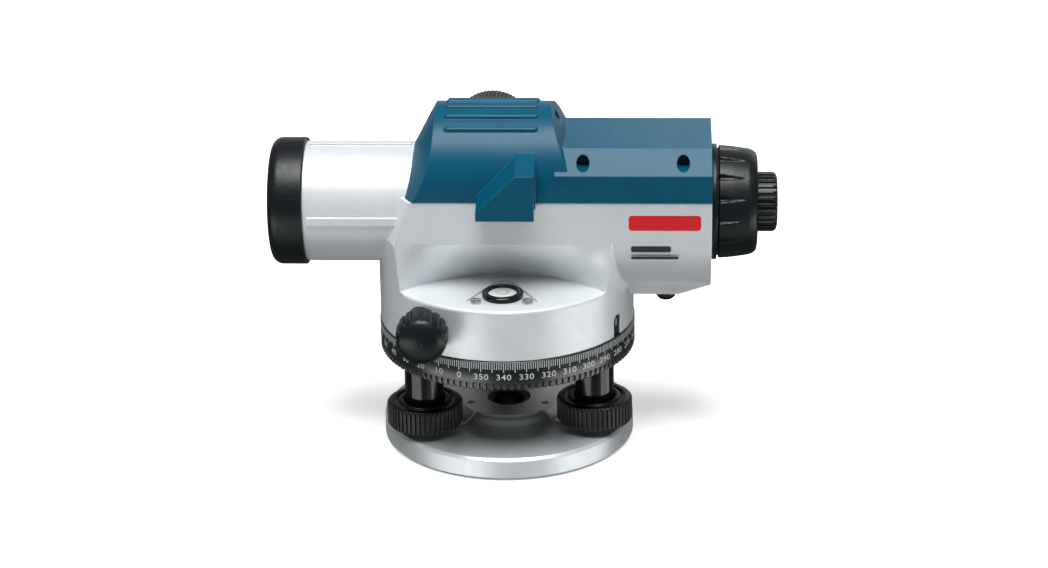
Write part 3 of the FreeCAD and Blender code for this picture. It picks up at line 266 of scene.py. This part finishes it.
def turned_metal(name, low, high, rough, stretch=(1.0, 1.0, 12.0), metallic=1.0):
    """Machined metal with fine lines across its length."""
    m = Nodes(name)
    lines = m.noise(0.8, 3.0, 0.6, stretch)
    m.link(m.mix(m.ramp(lines, 0.3, 0.7), low, high), m.shader.inputs["Base Color"])
    m.link(m.ramp(m.noise(1.5, 3.0), 0.3, 0.7, rough - 0.05, rough + 0.08), m.shader.inputs["Roughness"])
    m.set(Metallic=metallic)
    m.bump(lines, 0.006, 0.2)
    return m.material


def clear_glass(name, tint, rough=0.02, ior=1.5):
    """Polished glass with the faintest smear and a coated tint."""
    m = Nodes(name)
    smear = m.noise(5.0, 3.0)
    m.link(m.mix(m.ramp(smear, 0.3, 0.7), tint, tuple(c * 0.97 for c in tint)), m.shader.inputs["Base Color"])
    m.link(m.ramp(smear, 0.3, 0.8, rough, rough + 0.03), m.shader.inputs["Roughness"])
    m.set(Transmission_Weight=1.0, IOR=ior)
    return m.material


def filled_vial():
    """Clear domed glass over a white floor: a milky body under a clear coat, with painted shade darkening it
    towards its edge.
    """
    m = Nodes("filled_vial")
    edge = m.add("ShaderNodeLayerWeight")
    edge.inputs["Blend"].default_value = 0.35
    swirl = m.mix(m.ramp(m.noise(2.5, 2.0), 0.3, 0.7), (0.80, 0.82, 0.80), (0.86, 0.87, 0.85))
    # painted shade: darker where the dome turns away from view
    m.link(m.mix(m.ramp(edge.outputs["Facing"], 0.55, 1.0), swirl, (0.45, 0.47, 0.46)),
           m.shader.inputs["Base Color"])
    m.link(m.ramp(m.noise(1.5, 2.0), 0.3, 0.7, 0.06, 0.10), m.shader.inputs["Roughness"])
    m.set(Coat_Weight=1.0, Coat_Roughness=0.03)
    return m.material


def ink(name, colour, rough=0.45):
    """Screen-printed or filled paint, slightly uneven."""
    m = Nodes(name)
    m.link(m.mix(m.ramp(m.noise(0.6, 3.0), 0.3, 0.7), colour, tuple(c * 0.9 for c in colour)),
           m.shader.inputs["Base Color"])
    m.link(m.ramp(m.noise(0.4, 2.0), 0.3, 0.7, rough - 0.05, rough + 0.08), m.shader.inputs["Roughness"])
    m.bump(m.noise(0.15, 2.0), 0.003)
    return m.material


PAINT = painted_casting()
TURNED = machined_paint()
PETROL = cover_paint()
BLACK = black_plastic("black_grained", 0.005, 0.008, 0.33)
RUBBER = black_plastic("black_soft", 0.005, 0.008, 0.36, 0.45, 0.010, 0.3)
# the ribbed knobs get the strongest painted highlight along their ribs
RIBBED = black_plastic("black_ribbed", 0.002, 0.004, 0.30, edge_highlight=0.95)
SLEEVE = black_plastic("black_gloss", 0.003, 0.005, 0.12, 2.0, 0.004, 0.2)
ANODISED = black_plastic("black_anodised", 0.006, 0.009, 0.30, 0.20, 0.006, 0.12)
CIRCLE = rubbed_circle()
STEEL = turned_metal("ground_steel", (0.52, 0.52, 0.53), (0.62, 0.62, 0.63), 0.27)
SHEET = turned_metal("rolled_sheet", (0.60, 0.60, 0.61), (0.68, 0.68, 0.69), 0.36, (10.0, 1.0, 1.0), 0.8)
DARK_STEEL = turned_metal("blackened_steel", (0.05, 0.05, 0.055), (0.08, 0.08, 0.085), 0.35)
BRASS = turned_metal("turned_brass", (0.68, 0.50, 0.22), (0.78, 0.60, 0.30), 0.28)
ALLOY = turned_metal("machined_alloy", (0.66, 0.66, 0.67), (0.74, 0.74, 0.75), 0.33)
GLASS = clear_glass("coated_glass", (0.93, 0.97, 0.96))
VIAL = filled_vial()
WHITE_INK = ink("white_fill", (0.60, 0.61, 0.61))
GREY_INK = ink("grey_print", (0.22, 0.23, 0.23))
RED_INK = ink("red_print", (0.68, 0.003, 0.009), 0.45)
DARK_INK = ink("dark_print", (0.02, 0.025, 0.03), 0.40)

SLOT_MATERIAL = {
    "silver_casting": PAINT, "cover_plastic": PETROL, "black_plastic": BLACK, "glossy_black": SLEEVE,
    "circle_black": ANODISED, "spring_sheet": SHEET, "steel": STEEL, "dark_steel": DARK_STEEL, "brass": BRASS,
    "black_alloy": ANODISED, "alloy": ALLOY, "optical_glass": GLASS, "vial_glass": VIAL, "magnet": DARK_STEEL,
}


def dress_cad_nodes():
    """Every CAD node gets the material of its slot, and smooth shading between its sharp edges."""
    special = {"base_plate": TURNED, "objective_bezel": RUBBER}
    for part in frame["record"]["subparts"]:
        obj = NODES[part["node"]]
        obj.data.materials.clear()
        obj.data.materials.append(special.get(part["node"], SLOT_MATERIAL[part["material_slot"]]))
        obj.data.shade_smooth()
        obj.data.set_sharp_from_angle(angle=math.radians(28))


# ---- mesh building -------------------------------------------------------------------------------

def piece(name, verts, faces, material, body, stands_for=(), sharp=38):
    """One object from vertices in millimetres and faces."""
    mesh = bpy.data.meshes.new(name)
    mesh.from_pydata([Vector(v) * MM for v in verts], [], faces)
    work = bmesh.new()
    work.from_mesh(mesh)
    bmesh.ops.remove_doubles(work, verts=work.verts, dist=0.002 * MM)
    bmesh.ops.recalc_face_normals(work, faces=work.faces)
    work.to_mesh(mesh)
    work.free()
    mesh.materials.append(material)
    mesh.shade_smooth()
    mesh.set_sharp_from_angle(angle=math.radians(sharp))
    obj = bpy.data.objects.new(name, mesh)
    bpy.context.scene.collection.objects.link(obj)
    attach(obj, body)
    if stands_for:
        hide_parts(*stands_for)
    return obj


def softened(points, radius, steps=4, closed=True):
    """Outline with each corner turned into a short curve of about that radius."""
    result = []
    count = len(points)
    for i, corner in enumerate(points):
        if not closed and i in (0, count - 1):
            result.append(corner)
            continue
        here = Vector(corner)
        before = Vector(points[i - 1]) - here
        after = Vector(points[(i + 1) % count]) - here
        reach = min(radius, before.length * 0.45, after.length * 0.45)
        start = here + before.normalized() * reach
        end = here + after.normalized() * reach
        for k in range(steps + 1):
            t = k / steps
            result.append(tuple(start * (1 - t) ** 2 + here * 2 * t * (1 - t) + end * t ** 2))
    return result


def divided(points, longest):
    """Outline with extra points, so that no side of it is longer than that."""
    result = []
    for i, point in enumerate(points):
        here = Vector(point)
        there = Vector(points[(i + 1) % len(points)])
        parts = max(1, math.ceil((there - here).length / longest))
        result += [tuple(here.lerp(there, k / parts)) for k in range(parts)]
    return result


def lathe(profile, columns, axis, centre, wave=None):
    """Vertices and faces turned round an axis through centre.

    profile is a closed loop of (radius, place along the axis).
    wave(angle, radius, along) is added to the radius.
    """
    verts = []
    for k in range(columns):
        angle = 2 * math.pi * k / columns
        for radius, along in profile:
            r = radius + (wave(angle, radius, along) if wave and radius > 0.01 else 0.0)
            a, b = r * math.cos(angle), r * math.sin(angle)
            if axis == "Z":
                verts.append((centre[0] + a, centre[1] + b, along))
            elif axis == "X":
                verts.append((along, centre[1] + a, centre[2] + b))
            else:
                verts.append((centre[0] + a, along, centre[2] + b))
    count = len(profile)
    faces = []
    for k in range(columns):
        for j in range(count):
            a = k * count + j
            b = k * count + (j + 1) % count
            c = ((k + 1) % columns) * count + (j + 1) % count
            d = ((k + 1) % columns) * count + j
            faces.append((a, b, c, d))
    return verts, faces


def joined(*parts):
    verts, faces = [], []
    for part_verts, part_faces in parts:
        base = len(verts)
        verts += part_verts
        faces += [tuple(base + i for i in face) for face in part_faces]
    return verts, faces


def smooth_step(low, high, value):
    t = min(1.0, max(0.0, (value - low) / (high - low)))
    return t * t * (3 - 2 * t)


def milled(count, radius, depth, land, soft, start, end, turn=0.0):
    """Grooves milled along an axis between start and end, into what lies outside radius - depth.

    land is the share of the pitch that stays proud, soft the share over which a groove's side falls.
    """
    def wave(angle, at_radius, along):
        floor = radius - depth
        if at_radius <= floor or along < start or along > end:
            return 0.0
        across = abs(((angle - turn) / (2 * math.pi) * count + 0.5) % 1.0 - 0.5)
        proud = 1 - smooth_step(land / 2, land / 2 + soft, across)
        return min(0.0, floor + depth * proud - at_radius)
    return wave


# ---- foot screws ---------------------------------------------------------------------------------

RIBS = 49
COLUMNS_PER_RIB = 8


def foot_knob(name):
    """Knob with narrow ribs, a plain collar under it, and a ring ridge round the recess on top."""
    node = "foot_knob_" + name
    low, high = box_mm(node)
    centre = middle(node)
    radius = max(high.x - low.x, high.y - low.y) / 2
    bottom, top = low.z, high.z
    screw_r = 3.5
    recess_r = 8.9
    recess_z = top - 7.3
    collar_r = radius - 3.75
    ribs_from = bottom + 0.8
    shoulder = top - 0.3
    rim = 1.0
    loop = [(screw_r, bottom), (collar_r, bottom), (collar_r, ribs_from),
            (radius - 1.0, ribs_from), (radius, ribs_from + rim), (radius, shoulder - rim),
            (radius - 1.2, shoulder), (12.3, shoulder), (11.9, top - 0.9), (11.3, top - 0.9), (11.0, top),
            (9.3, top), (recess_r, top - 0.5), (recess_r, recess_z), (screw_r, recess_z)]
    profile = divided(softened(loop, 0.45, 2), 1.2)
    ribs = milled(RIBS, radius, 1.0, 0.22, 0.18, ribs_from - 0.2, top)
    verts, faces = lathe(profile, RIBS * COLUMNS_PER_RIB, "Z", centre, ribs)
    piece("ribbed_knob_" + name, verts, faces, RIBBED, BODY_OF[node], (node,), 50)


# ---- horizontal circle ---------------------------------------------------------------------------

TEETH = 120
DEGREES = 360
ZERO_ANGLE = 251           # the direction that the circle's 0 points to, in degrees from +X


def circle_sizes():
    low, high = box_mm("horizontal_circle")
    return (high.x - low.x) / 2, low.z, high.z


def circle_body():
    """Black ring with U-shaped notches round its lower rim."""
    radius, bottom, top = circle_sizes()
    tooth_top = bottom + 3.2
    depth = 0.95
    pitch = 2 * math.pi * radius / TEETH
    half = 0.25 * pitch
    edge = 0.12

    def notch(angle, at_radius, along):
        if at_radius < radius - 0.6 or along > tooth_top:
            return 0.0
        across = ((angle / (2 * math.pi) * TEETH + 0.5) % 1.0 - 0.5) * pitch
        up = max(0.0, along - (tooth_top - half - 0.3))
        away = math.hypot(across, up)
        return -depth * (1 - smooth_step(half - edge, half + edge, away))

    outside = [(radius - 0.35, bottom), (radius, bottom + 0.35)]
    steps = 16
    outside += [(radius, bottom + 0.35 + (tooth_top - bottom) * k / steps) for k in range(1, steps)]
    outside += [(radius, tooth_top + 0.2), (radius, top - 0.3), (radius - 0.3, top)]
    skirt_r = radius - 3.6
    web_z = 50.4
    web_top = web_z + 2.2
    hub_r, bore_r = 21.0, 17.05
    inside = [(skirt_r, top), (skirt_r, web_top), (hub_r, web_top), (hub_r, top), (bore_r, top),
              (bore_r, web_z), (skirt_r, web_z), (skirt_r, bottom)]
    verts, faces = lathe(outside + inside, TEETH * 12, "Z", (0, 0, 0), notch)
    piece("circle_ring", verts, faces, CIRCLE, "circle", ("horizontal_circle",), 50)


def plate_on_circle(angle, half_width, low, high, radius, lift):
    """Thin raised block on a cylinder, for one graduation line."""
    verts = []
    for r in (radius - lift, radius + lift):
        for side, z in ((-1, low), (1, low), (1, high), (-1, high)):
            a = angle + side * half_width / radius
            verts.append((r * math.cos(a), r * math.sin(a), z))
    faces = [(0, 1, 2, 3), (4, 5, 6, 7), (0, 1, 5, 4), (1, 2, 6, 5), (2, 3, 7, 6), (3, 0, 4, 7)]
    return verts, faces


def circle_lines():
    """A line per degree, longer at every fifth, hanging from the circle's upper rim."""
    radius, _, top = circle_sizes()
    upper_end = top - 0.35
    parts = []
    for degree in range(DEGREES):
        angle = math.radians(ZERO_ANGLE - degree)
        length, half = (4.2, 0.17) if degree % 5 == 0 else (2.9, 0.15)
        parts.append(plate_on_circle(angle, half, upper_end - length, upper_end, radius, 0.03))
    verts, faces = joined(*parts)
    piece("circle_lines", verts, faces, WHITE_INK, "circle")


def circle_numbers():
    """Numbers every ten degrees, wrapped round the ring."""
    radius, bottom, _ = circle_sizes()
    height = 2.6
    size_for_height = 1.42
    widening = 1.12
    lift = 0.005
    base_z = bottom + 4.75
    parts = []
    for degree in range(0, DEGREES, 10):
        curve = bpy.data.curves.new("number", "FONT")
        curve.body = str(degree)
        curve.size = height * size_for_height
        curve.space_character = 1.08
        curve.offset = 0.01
        curve.extrude = 0.02
        curve.resolution_u = 3
        curve.align_x = "CENTER"
        text = bpy.data.objects.new("number", curve)
        bpy.context.scene.collection.objects.link(text)
        bpy.context.view_layer.update()
        mesh = bpy.data.meshes.new_from_object(text.evaluated_get(bpy.context.evaluated_depsgraph_get()))
        centre = math.radians(ZERO_ANGLE - degree)
        verts = []
        for v in mesh.vertices:
            angle = centre + v.co.x * widening / radius
            r = radius + v.co.z + lift
            verts.append((r * math.cos(angle), r * math.sin(angle), base_z + v.co.y))
        parts.append((verts, [tuple(p.vertices) for p in mesh.polygons]))
        bpy.data.objects.remove(text)
        bpy.data.curves.remove(curve)
        bpy.data.meshes.remove(mesh)
    verts, faces = joined(*parts)
    piece("circle_numbers", verts, faces, WHITE_INK, "circle")


# ---- drive knobs ---------------------------------------------------------------------------------

def drive_knobs():
    """The two slow-motion knobs: broad ridges with narrow grooves, and a smooth domed end."""
    low, high = box_mm("drive_knobs")
    centre = middle("drive_knobs")
    outer = high.y
    radius = (high.z - low.z) / 2
    near = 52.0
    grooves = 16
    shaft_r = 2.9
    dome_h = 4.4
    steps = 12
    for name, side in (("near", -1), ("far", 1)):
        loop = [(shaft_r, near), (radius - 2.0, near), (radius - 0.6, near + 0.9), (radius, near + 2.0),
                (radius - 0.2, outer - 7.0), (radius - 0.5, outer - 5.0)]
        for k in range(1, steps + 1):
            angle = math.radians(QUARTER * k / steps)
            loop.append(((radius - 0.9) * math.cos(angle), outer - dome_h + dome_h * math.sin(angle)))
        loop += [(0.0, outer - 4), (shaft_r, outer - 4)]
        profile = [(r, side * along) for r, along in divided(softened(loop, 0.35, 2), 1.3)]
        cut = milled(grooves, radius, 1.35, 0.56, 0.13, -outer, outer, math.radians(8))
        verts, faces = lathe(profile, grooves * 20, "Y", centre, cut)
        piece("drive_knob_" + name, verts, faces, BLACK, BODY_OF["drive_knobs"],
              ("drive_knobs",), 50)


# ---- telescope ends ------------------------------------------------------------------------------

def objective_bezel():
    """Soft dark ring over the objective, with baffle steps inside its mouth."""
    low, high = box_mm("objective_bezel")
    centre = middle("objective_bezel")
    radius = (high.z - low.z) / 2
    front, back = low.x, high.x
    round_r = 4.6
    steps = 8
    arc = []
    for k in range(steps + 1):
        angle = math.radians(QUARTER * k / steps)
        along = front + round_r - round_r * math.cos(angle)
        arc.append((radius - round_r + round_r * math.sin(angle), along))
    mouth = [(20.9, front), (20.6, front + 0.6)]
    baffles = 4
    for k in range(baffles):
        x = front + 1.3 + 1.1 * k
        mouth = [(20.1 - 0.15 * k, x + 0.55), (20.5 - 0.15 * k, x)] + mouth
    tube_end = back - 9.0
    inside = [(22.6, back), (22.6, tube_end), (19.45, tube_end)]
    loop = arc + [(radius, back - 0.5), (radius - 0.4, back)] + inside + mouth
    verts, faces = lathe(loop, 160, "X", centre)
    piece("bezel_ring", verts, faces, RUBBER, "alidade", ("objective_bezel",), 32)


def eyepiece_cover():
    """Tapering black cover whose flutes run out before its rounded end."""
    low, high = box_mm("eyepiece_cover")
    centre = middle("eyepiece_cover")
    flange_r = (high.z - low.z) / 2
    x0, x1 = low.x, high.x
    big, small = 24.1, 21.6
    bore_r, mouth_r = 13.0, 13.3
    mouth_x = x1 - 4.6
    flutes = 16
    loop = [(bore_r, x0), (flange_r, x0), (flange_r, x0 + 2.3), (big - 1.2, x0 + 2.3), (big - 1.2, x0 + 2.9),
            (big, x0 + 3.2), (big - 0.5, x0 + 9.0), (small + 1.0, x1 - 3.6), (small + 0.3, x1 - 1.8),
            (small - 0.9, x1 - 0.5), (small - 2.8, x1), (mouth_r, x1), (mouth_r, mouth_x), (bore_r, mouth_x)]
    profile = divided(softened(loop, 0.5, 3), 0.8)

    def taper(angle, radius, along):
        if radius < 19.0 or along < x0 + 2.6:
            return 0.0
        run = min(1.0, (along - x0 - 3.0) / 11.5)
        if run >= 1.0:
            return 0.0
        across = ((angle / (2 * math.pi) * flutes + 0.5) % 1.0 - 0.5) * 2
        width = 0.36 * (1 - run) ** 0.8 + 0.02
        return -1.3 * (1 - run) ** 0.6 * (1 - smooth_step(width * 0.25, width, abs(across)))

    verts, faces = lathe(profile, flutes * 24, "X", centre, taper)
    piece("fluted_cover", verts, faces, RUBBER, "alidade", ("eyepiece_cover",), 40)


def dioptre_ring():
    """Ribbed focusing ring of the eyepiece with a dished eye opening."""
    low, high = box_mm("dioptre_ring")
    centre = middle("dioptre_ring")
    radius = (high.z - low.z) / 2
    x0, x1 = low.x, high.x
    skirt_r, barrel_r, eye_r = 11.0, 9.05, 6.4
    loop = [(skirt_r, x0), (radius, x0), (radius, x1 - 1.9), (radius - 0.8, x1 - 0.6), (radius - 2.4, x1),
            (9.6, x1), (8.0, x1 - 0.8), (eye_r, x1 - 1.1), (eye_r, x1 - 1.4), (barrel_r, x1 - 1.4),
            (barrel_r, x0 + 2.3), (skirt_r, x0 + 2.3)]
    profile = divided(softened(loop, 0.3, 2), 0.8)
    count = 28
    ribs = milled(count, radius, 0.9, 0.30, 0.14, x0 + 1.0, x1)
    verts, faces = lathe(profile, count * 14, "X", centre, ribs)
    piece("ribbed_dioptre", verts, faces, RIBBED, BODY_OF["dioptre_ring"],
          ("dioptre_ring",), 45)


def focus_knob():
    """Finely ribbed focusing knob on the far side."""
    low, high = box_mm("focus_knob")
    centre = middle("focus_knob")
    radius = (high.z - low.z) / 2
    near, far = low.y, high.y
    shaft_r = 2.0
    dish_r = 11.5
    steps = 4
    dish = []
    for k in range(steps + 1):
        t = k / steps
        dish.append((dish_r * (1 - t), far - 0.3 - 0.9 * math.sin(math.pi / 2 * t)))
    loop = [(shaft_r, near), (radius - 1.4, near), (radius, near + 1.2), (radius, far - 3.0),
            (radius - 0.8, far - 1.4), (radius - 2.2, far - 0.4), (13.0, far), (12.2, far)]
    loop += dish + [(0.0, far - 3.0), (shaft_r, far - 3.0)]
    profile = divided(softened(loop, 0.4, 2), 1.3)
    count = 64
    ribs = milled(count, radius, 0.7, 0.34, 0.25, near, far)
    verts, faces = lathe(profile, count * COLUMNS_PER_RIB, "Y", centre, ribs)
    piece("ribbed_focus_knob", verts, faces, RIBBED, BODY_OF["focus_knob"],
          ("focus_knob",), 50)


# ---- circular level and small parts --------------------------------------------------------------

def circular_level():
    """Black ring with a bright line in its groove, and a white vial with a setting circle and its bubble."""
    low, high = box_mm("level_ring")
    centre = middle("level_ring")
    radius = (high.x - low.x) / 2
    bottom, top = low.z, high.z
    seat = top - 2.3
    glass_r = 6.1
    neck_r = glass_r + 1.3
    groove_out, groove_in = radius - 1.25, radius - 1.6
    loop = [(glass_r, bottom), (neck_r, bottom), (neck_r, seat), (radius, seat), (radius, top - 0.5),
            (radius - 0.6, top - 0.05), (radius - 1.1, top - 0.05), (groove_out, top - 0.5),
            (groove_in, top - 0.5), (radius - 1.75, top), (glass_r + 0.3, top), (glass_r, top - 0.4)]
    verts, faces = lathe(softened(loop, 0.12, 2), 96, "Z", centre)
    piece("level_bezel", verts, faces, SLEEVE, "alidade", ("level_ring",), 45)

    line = [(groove_in, top - 0.48), (groove_out, top - 0.48), (groove_out, top - 0.30),
            (groove_in, top - 0.30)]
    verts, faces = lathe(line, 96, "Z", centre)
    piece("level_line", verts, faces, STEEL, "alidade")

    dome_top = top - 0.35
    dome_h = 0.7
    rim = glass_r - 0.03
    crown = [(rim * math.cos(math.radians(a)), dome_top - dome_h + dome_h * math.sin(math.radians(a)))
             for a in range(0, QUARTER, 10)]
    verts, faces = lathe([(0.0, bottom), (rim, bottom)] + crown + [(0.0, dome_top)], 72, "Z", centre)
    piece("vial_dome", verts, faces, VIAL, "alidade", ("level_vial",), 60)

    circles = []
    for place, inner, outer in ((centre, 2.7, 2.95), (centre + Vector((0.35, 0.25, 0)), 1.75, 1.95)):
        drop = dome_h * (1 - math.sqrt(1 - (outer / rim) ** 2))
        z = dome_top - drop
        loop = [(inner, z - 0.1), (outer, z - 0.1), (outer, z + 0.03), (inner, z + 0.05)]
        circles.append(lathe(loop, 64, "Z", place))
    verts, faces = joined(*circles)
    piece("vial_circles", verts, faces, GREY_INK, "alidade")


def check_button():
    """Domed push button with its stem and clip."""
    low, high = box_mm("check_button")
    centre = middle("check_button")
    radius = (high.x - low.x) / 2
    bottom, top = low.z, high.z
    head_top = top - 10.0
    dome_h = 3.2
    stem_r, clip_r = 2.0, 3.0
    steps = 8
    loop = []
    for k in range(steps + 1):
        angle = math.radians(QUARTER * k / steps)
        loop.append((radius * math.sin(angle), bottom + dome_h - dome_h * math.cos(angle)))
    loop += [(radius, head_top), (stem_r, head_top), (stem_r, top - 1.7), (clip_r, top - 1.7),
             (clip_r, top - 0.9), (stem_r, top - 0.9), (stem_r, top), (0.0, top)]
    verts, faces = lathe(loop, 64, "Z", centre)
    piece("domed_button", verts, faces, SLEEVE, BODY_OF["check_button"],
          ("check_button",), 45)


def index_mark():
    """White reading mark on the block behind the drum's window."""
    angle = math.radians(-28.7)
    low, _ = box_mm("index_block")
    radius = 54.02
    verts, faces = plate_on_circle(angle, 0.30, low.z + 4.2, low.z + 7.4, radius, 0.04)
    piece("index_line", verts, faces, WHITE_INK, "alidade")


def flat_bar(x0, x1, z0, z1, y, thickness, corner, steps=5):
    """Thin plate with round corners standing against a flank that faces -Y."""
    outline = []
    for cx, cz, first in ((x1 - corner, z1 - corner, 0), (x0 + corner, z1 - corner, 90),
                          (x0 + corner, z0 + corner, 180), (x1 - corner, z0 + corner, 270)):
        for k in range(steps + 1):
            angle = math.radians(first + QUARTER * k / steps)
            outline.append((cx + corner * math.cos(angle), cz + corner * math.sin(angle)))
    count = len(outline)
    verts = [(x, y - thickness, z) for x, z in outline] + [(x, y + thickness, z) for x, z in outline]
    faces = [tuple(range(count)), tuple(range(2 * count - 1, count - 1, -1))]
    faces += [(k, (k + 1) % count, count + (k + 1) % count, count + k) for k in range(count)]
    return verts, faces


def flank_marks():
    """Plain printed bars on the rear flank, in place of any name."""
    ink_depth = 0.03
    verts, faces = flat_bar(52.8, 83.0, 104.2, 110.9, FLANK_Y, ink_depth, 1.4)
    piece("print_red", verts, faces, RED_INK, "alidade")
    left = 53.8
    bars = [flat_bar(left, 70.5, 94.6, 97.2, FLANK_Y, ink_depth, 0.8),
            flat_bar(left, 73.7, 91.4, 92.6, FLANK_Y, ink_depth, 0.5)]
    verts, faces = joined(*bars)
    piece("print_dark", verts, faces, DARK_INK, "alidade")


# ---- floor, light and camera ---------------------------------------------------------------------

def floor():
    """Plain pale floor with the faintest grain."""
    size = 6.0
    mesh = bpy.data.meshes.new("floor")
    corners = [(-size, -size, 0), (size, -size, 0), (size, size, 0), (-size, size, 0)]
    mesh.from_pydata(corners, [], [(0, 1, 2, 3)])
    m = Nodes("pale_floor")
    m.link(m.mix(m.noise(60.0, 2.0), (0.92, 0.92, 0.92), (0.94, 0.94, 0.94)), m.shader.inputs["Base Color"])
    m.set(Roughness=0.9, Specular_IOR_Level=0.1, Emission_Color=(1.0, 1.0, 1.0, 1.0), Emission_Strength=0.35)
    mesh.materials.append(m.material)
    obj = bpy.data.objects.new("floor", mesh)
    bpy.context.scene.collection.objects.link(obj)
    obj.location.z = -0.0002
    obj.visible_diffuse = False
    obj.visible_glossy = False
    obj.visible_shadow = False


def aim(obj, place, target=(0.0, 0.0, 0.09)):
    obj.location = place
    obj.rotation_euler = (Vector(target) - Vector(place)).to_track_quat("-Z", "Y").to_euler()


def sky_light(name, place, power, spread):
    """A very wide soft light, even over the whole floor; spread is its width in degrees."""
    light = bpy.data.lights.new(name, "SUN")
    light.energy = power
    light.angle = math.radians(spread)
    obj = bpy.data.objects.new(name, light)
    bpy.context.scene.collection.objects.link(obj)
    aim(obj, place)


def softbox(name, place, width, height, power):
    light = bpy.data.lights.new(name, "AREA")
    light.shape = "RECTANGLE"
    light.size = width
    light.size_y = height
    light.energy = power
    obj = bpy.data.objects.new(name, light)
    bpy.context.scene.collection.objects.link(obj)
    aim(obj, place)


def lights():
    """A broad light overhead, low strips beside and under the camera, and two weak lights behind.

    The low strips stand under the level of the floor, which lets light through.
    """
    sky_light("overhead", (0.0, -0.26, 1.08), 4.3, 40.0)
    softbox("left_strip", (-0.585, -0.594, -0.247), 0.88, 0.25, 2.3)
    softbox("right_strip", (0.778, -0.302, -0.247), 0.85, 0.25, 2.5)
    softbox("under_strip", (0.05, -0.62, -0.50), 1.60, 0.50, 1.7)
    softbox("back_glow", (0.25, 0.55, 0.34), 0.50, 0.25, 0.3)
    softbox("back_fill", (0.10, 1.30, 0.10), 1.60, 0.80, 1.6)
    world = bpy.data.worlds.new("studio")
    world.use_nodes = True
    tree = world.node_tree
    height = tree.nodes.new("ShaderNodeSeparateXYZ")
    tree.links.new(tree.nodes.new("ShaderNodeTexCoord").outputs["Generated"], height.inputs["Vector"])
    strength = tree.nodes.new("ShaderNodeMapRange")
    for name, value in (("From Min", -0.15), ("From Max", 0.15), ("To Min", 0.08), ("To Max", 0.20)):
        strength.inputs[name].default_value = value
    tree.links.new(height.outputs["Z"], strength.inputs["Value"])
    background = tree.nodes["Background"]
    background.inputs["Color"].default_value = (1.0, 1.0, 1.0, 1.0)
    tree.links.new(strength.outputs["Result"], background.inputs["Strength"])
    bpy.context.scene.world = world
    bpy.context.scene.view_settings.view_transform = "Standard"


def camera():
    """Camera a little above the instrument, looking along +Y, at the distance of a studio shot."""
    azimuth = math.radians(2.82)
    elevation = math.radians(22.23)
    roll = math.radians(-0.86)
    distance = 1284.2 * MM
    target = Vector((7.33, 0.0, 67.95)) * MM
    back = Vector((math.sin(azimuth) * math.cos(elevation), -math.cos(azimuth) * math.cos(elevation),
                   math.sin(elevation)))
    right = (-back).cross(Vector((0, 0, 1))).normalized()
    up = right.cross(-back)
    turned_right = right * math.cos(roll) + up * math.sin(roll)
    turned_up = up * math.cos(roll) - right * math.sin(roll)
    data = bpy.data.cameras.new("camera")
    data.sensor_width = 36.0
    data.lens = 102.2
    data.clip_start = 0.01
    data.clip_end = 20.0
    obj = bpy.data.objects.new("camera", data)
    bpy.context.scene.collection.objects.link(obj)
    turn = Matrix((turned_right, turned_up, back)).transposed().to_4x4()
    obj.matrix_world = Matrix.Translation(target + back * distance) @ turn
    bpy.context.scene.camera = obj


camera()
lights()
floor()
dress_cad_nodes()
for foot in ("left", "right", "rear"):
    foot_knob(foot)
circle_body()
circle_lines()
circle_numbers()
drive_knobs()
objective_bezel()
eyepiece_cover()
dioptre_ring()
focus_knob()
circular_level()
check_button()
index_mark()
flank_marks()
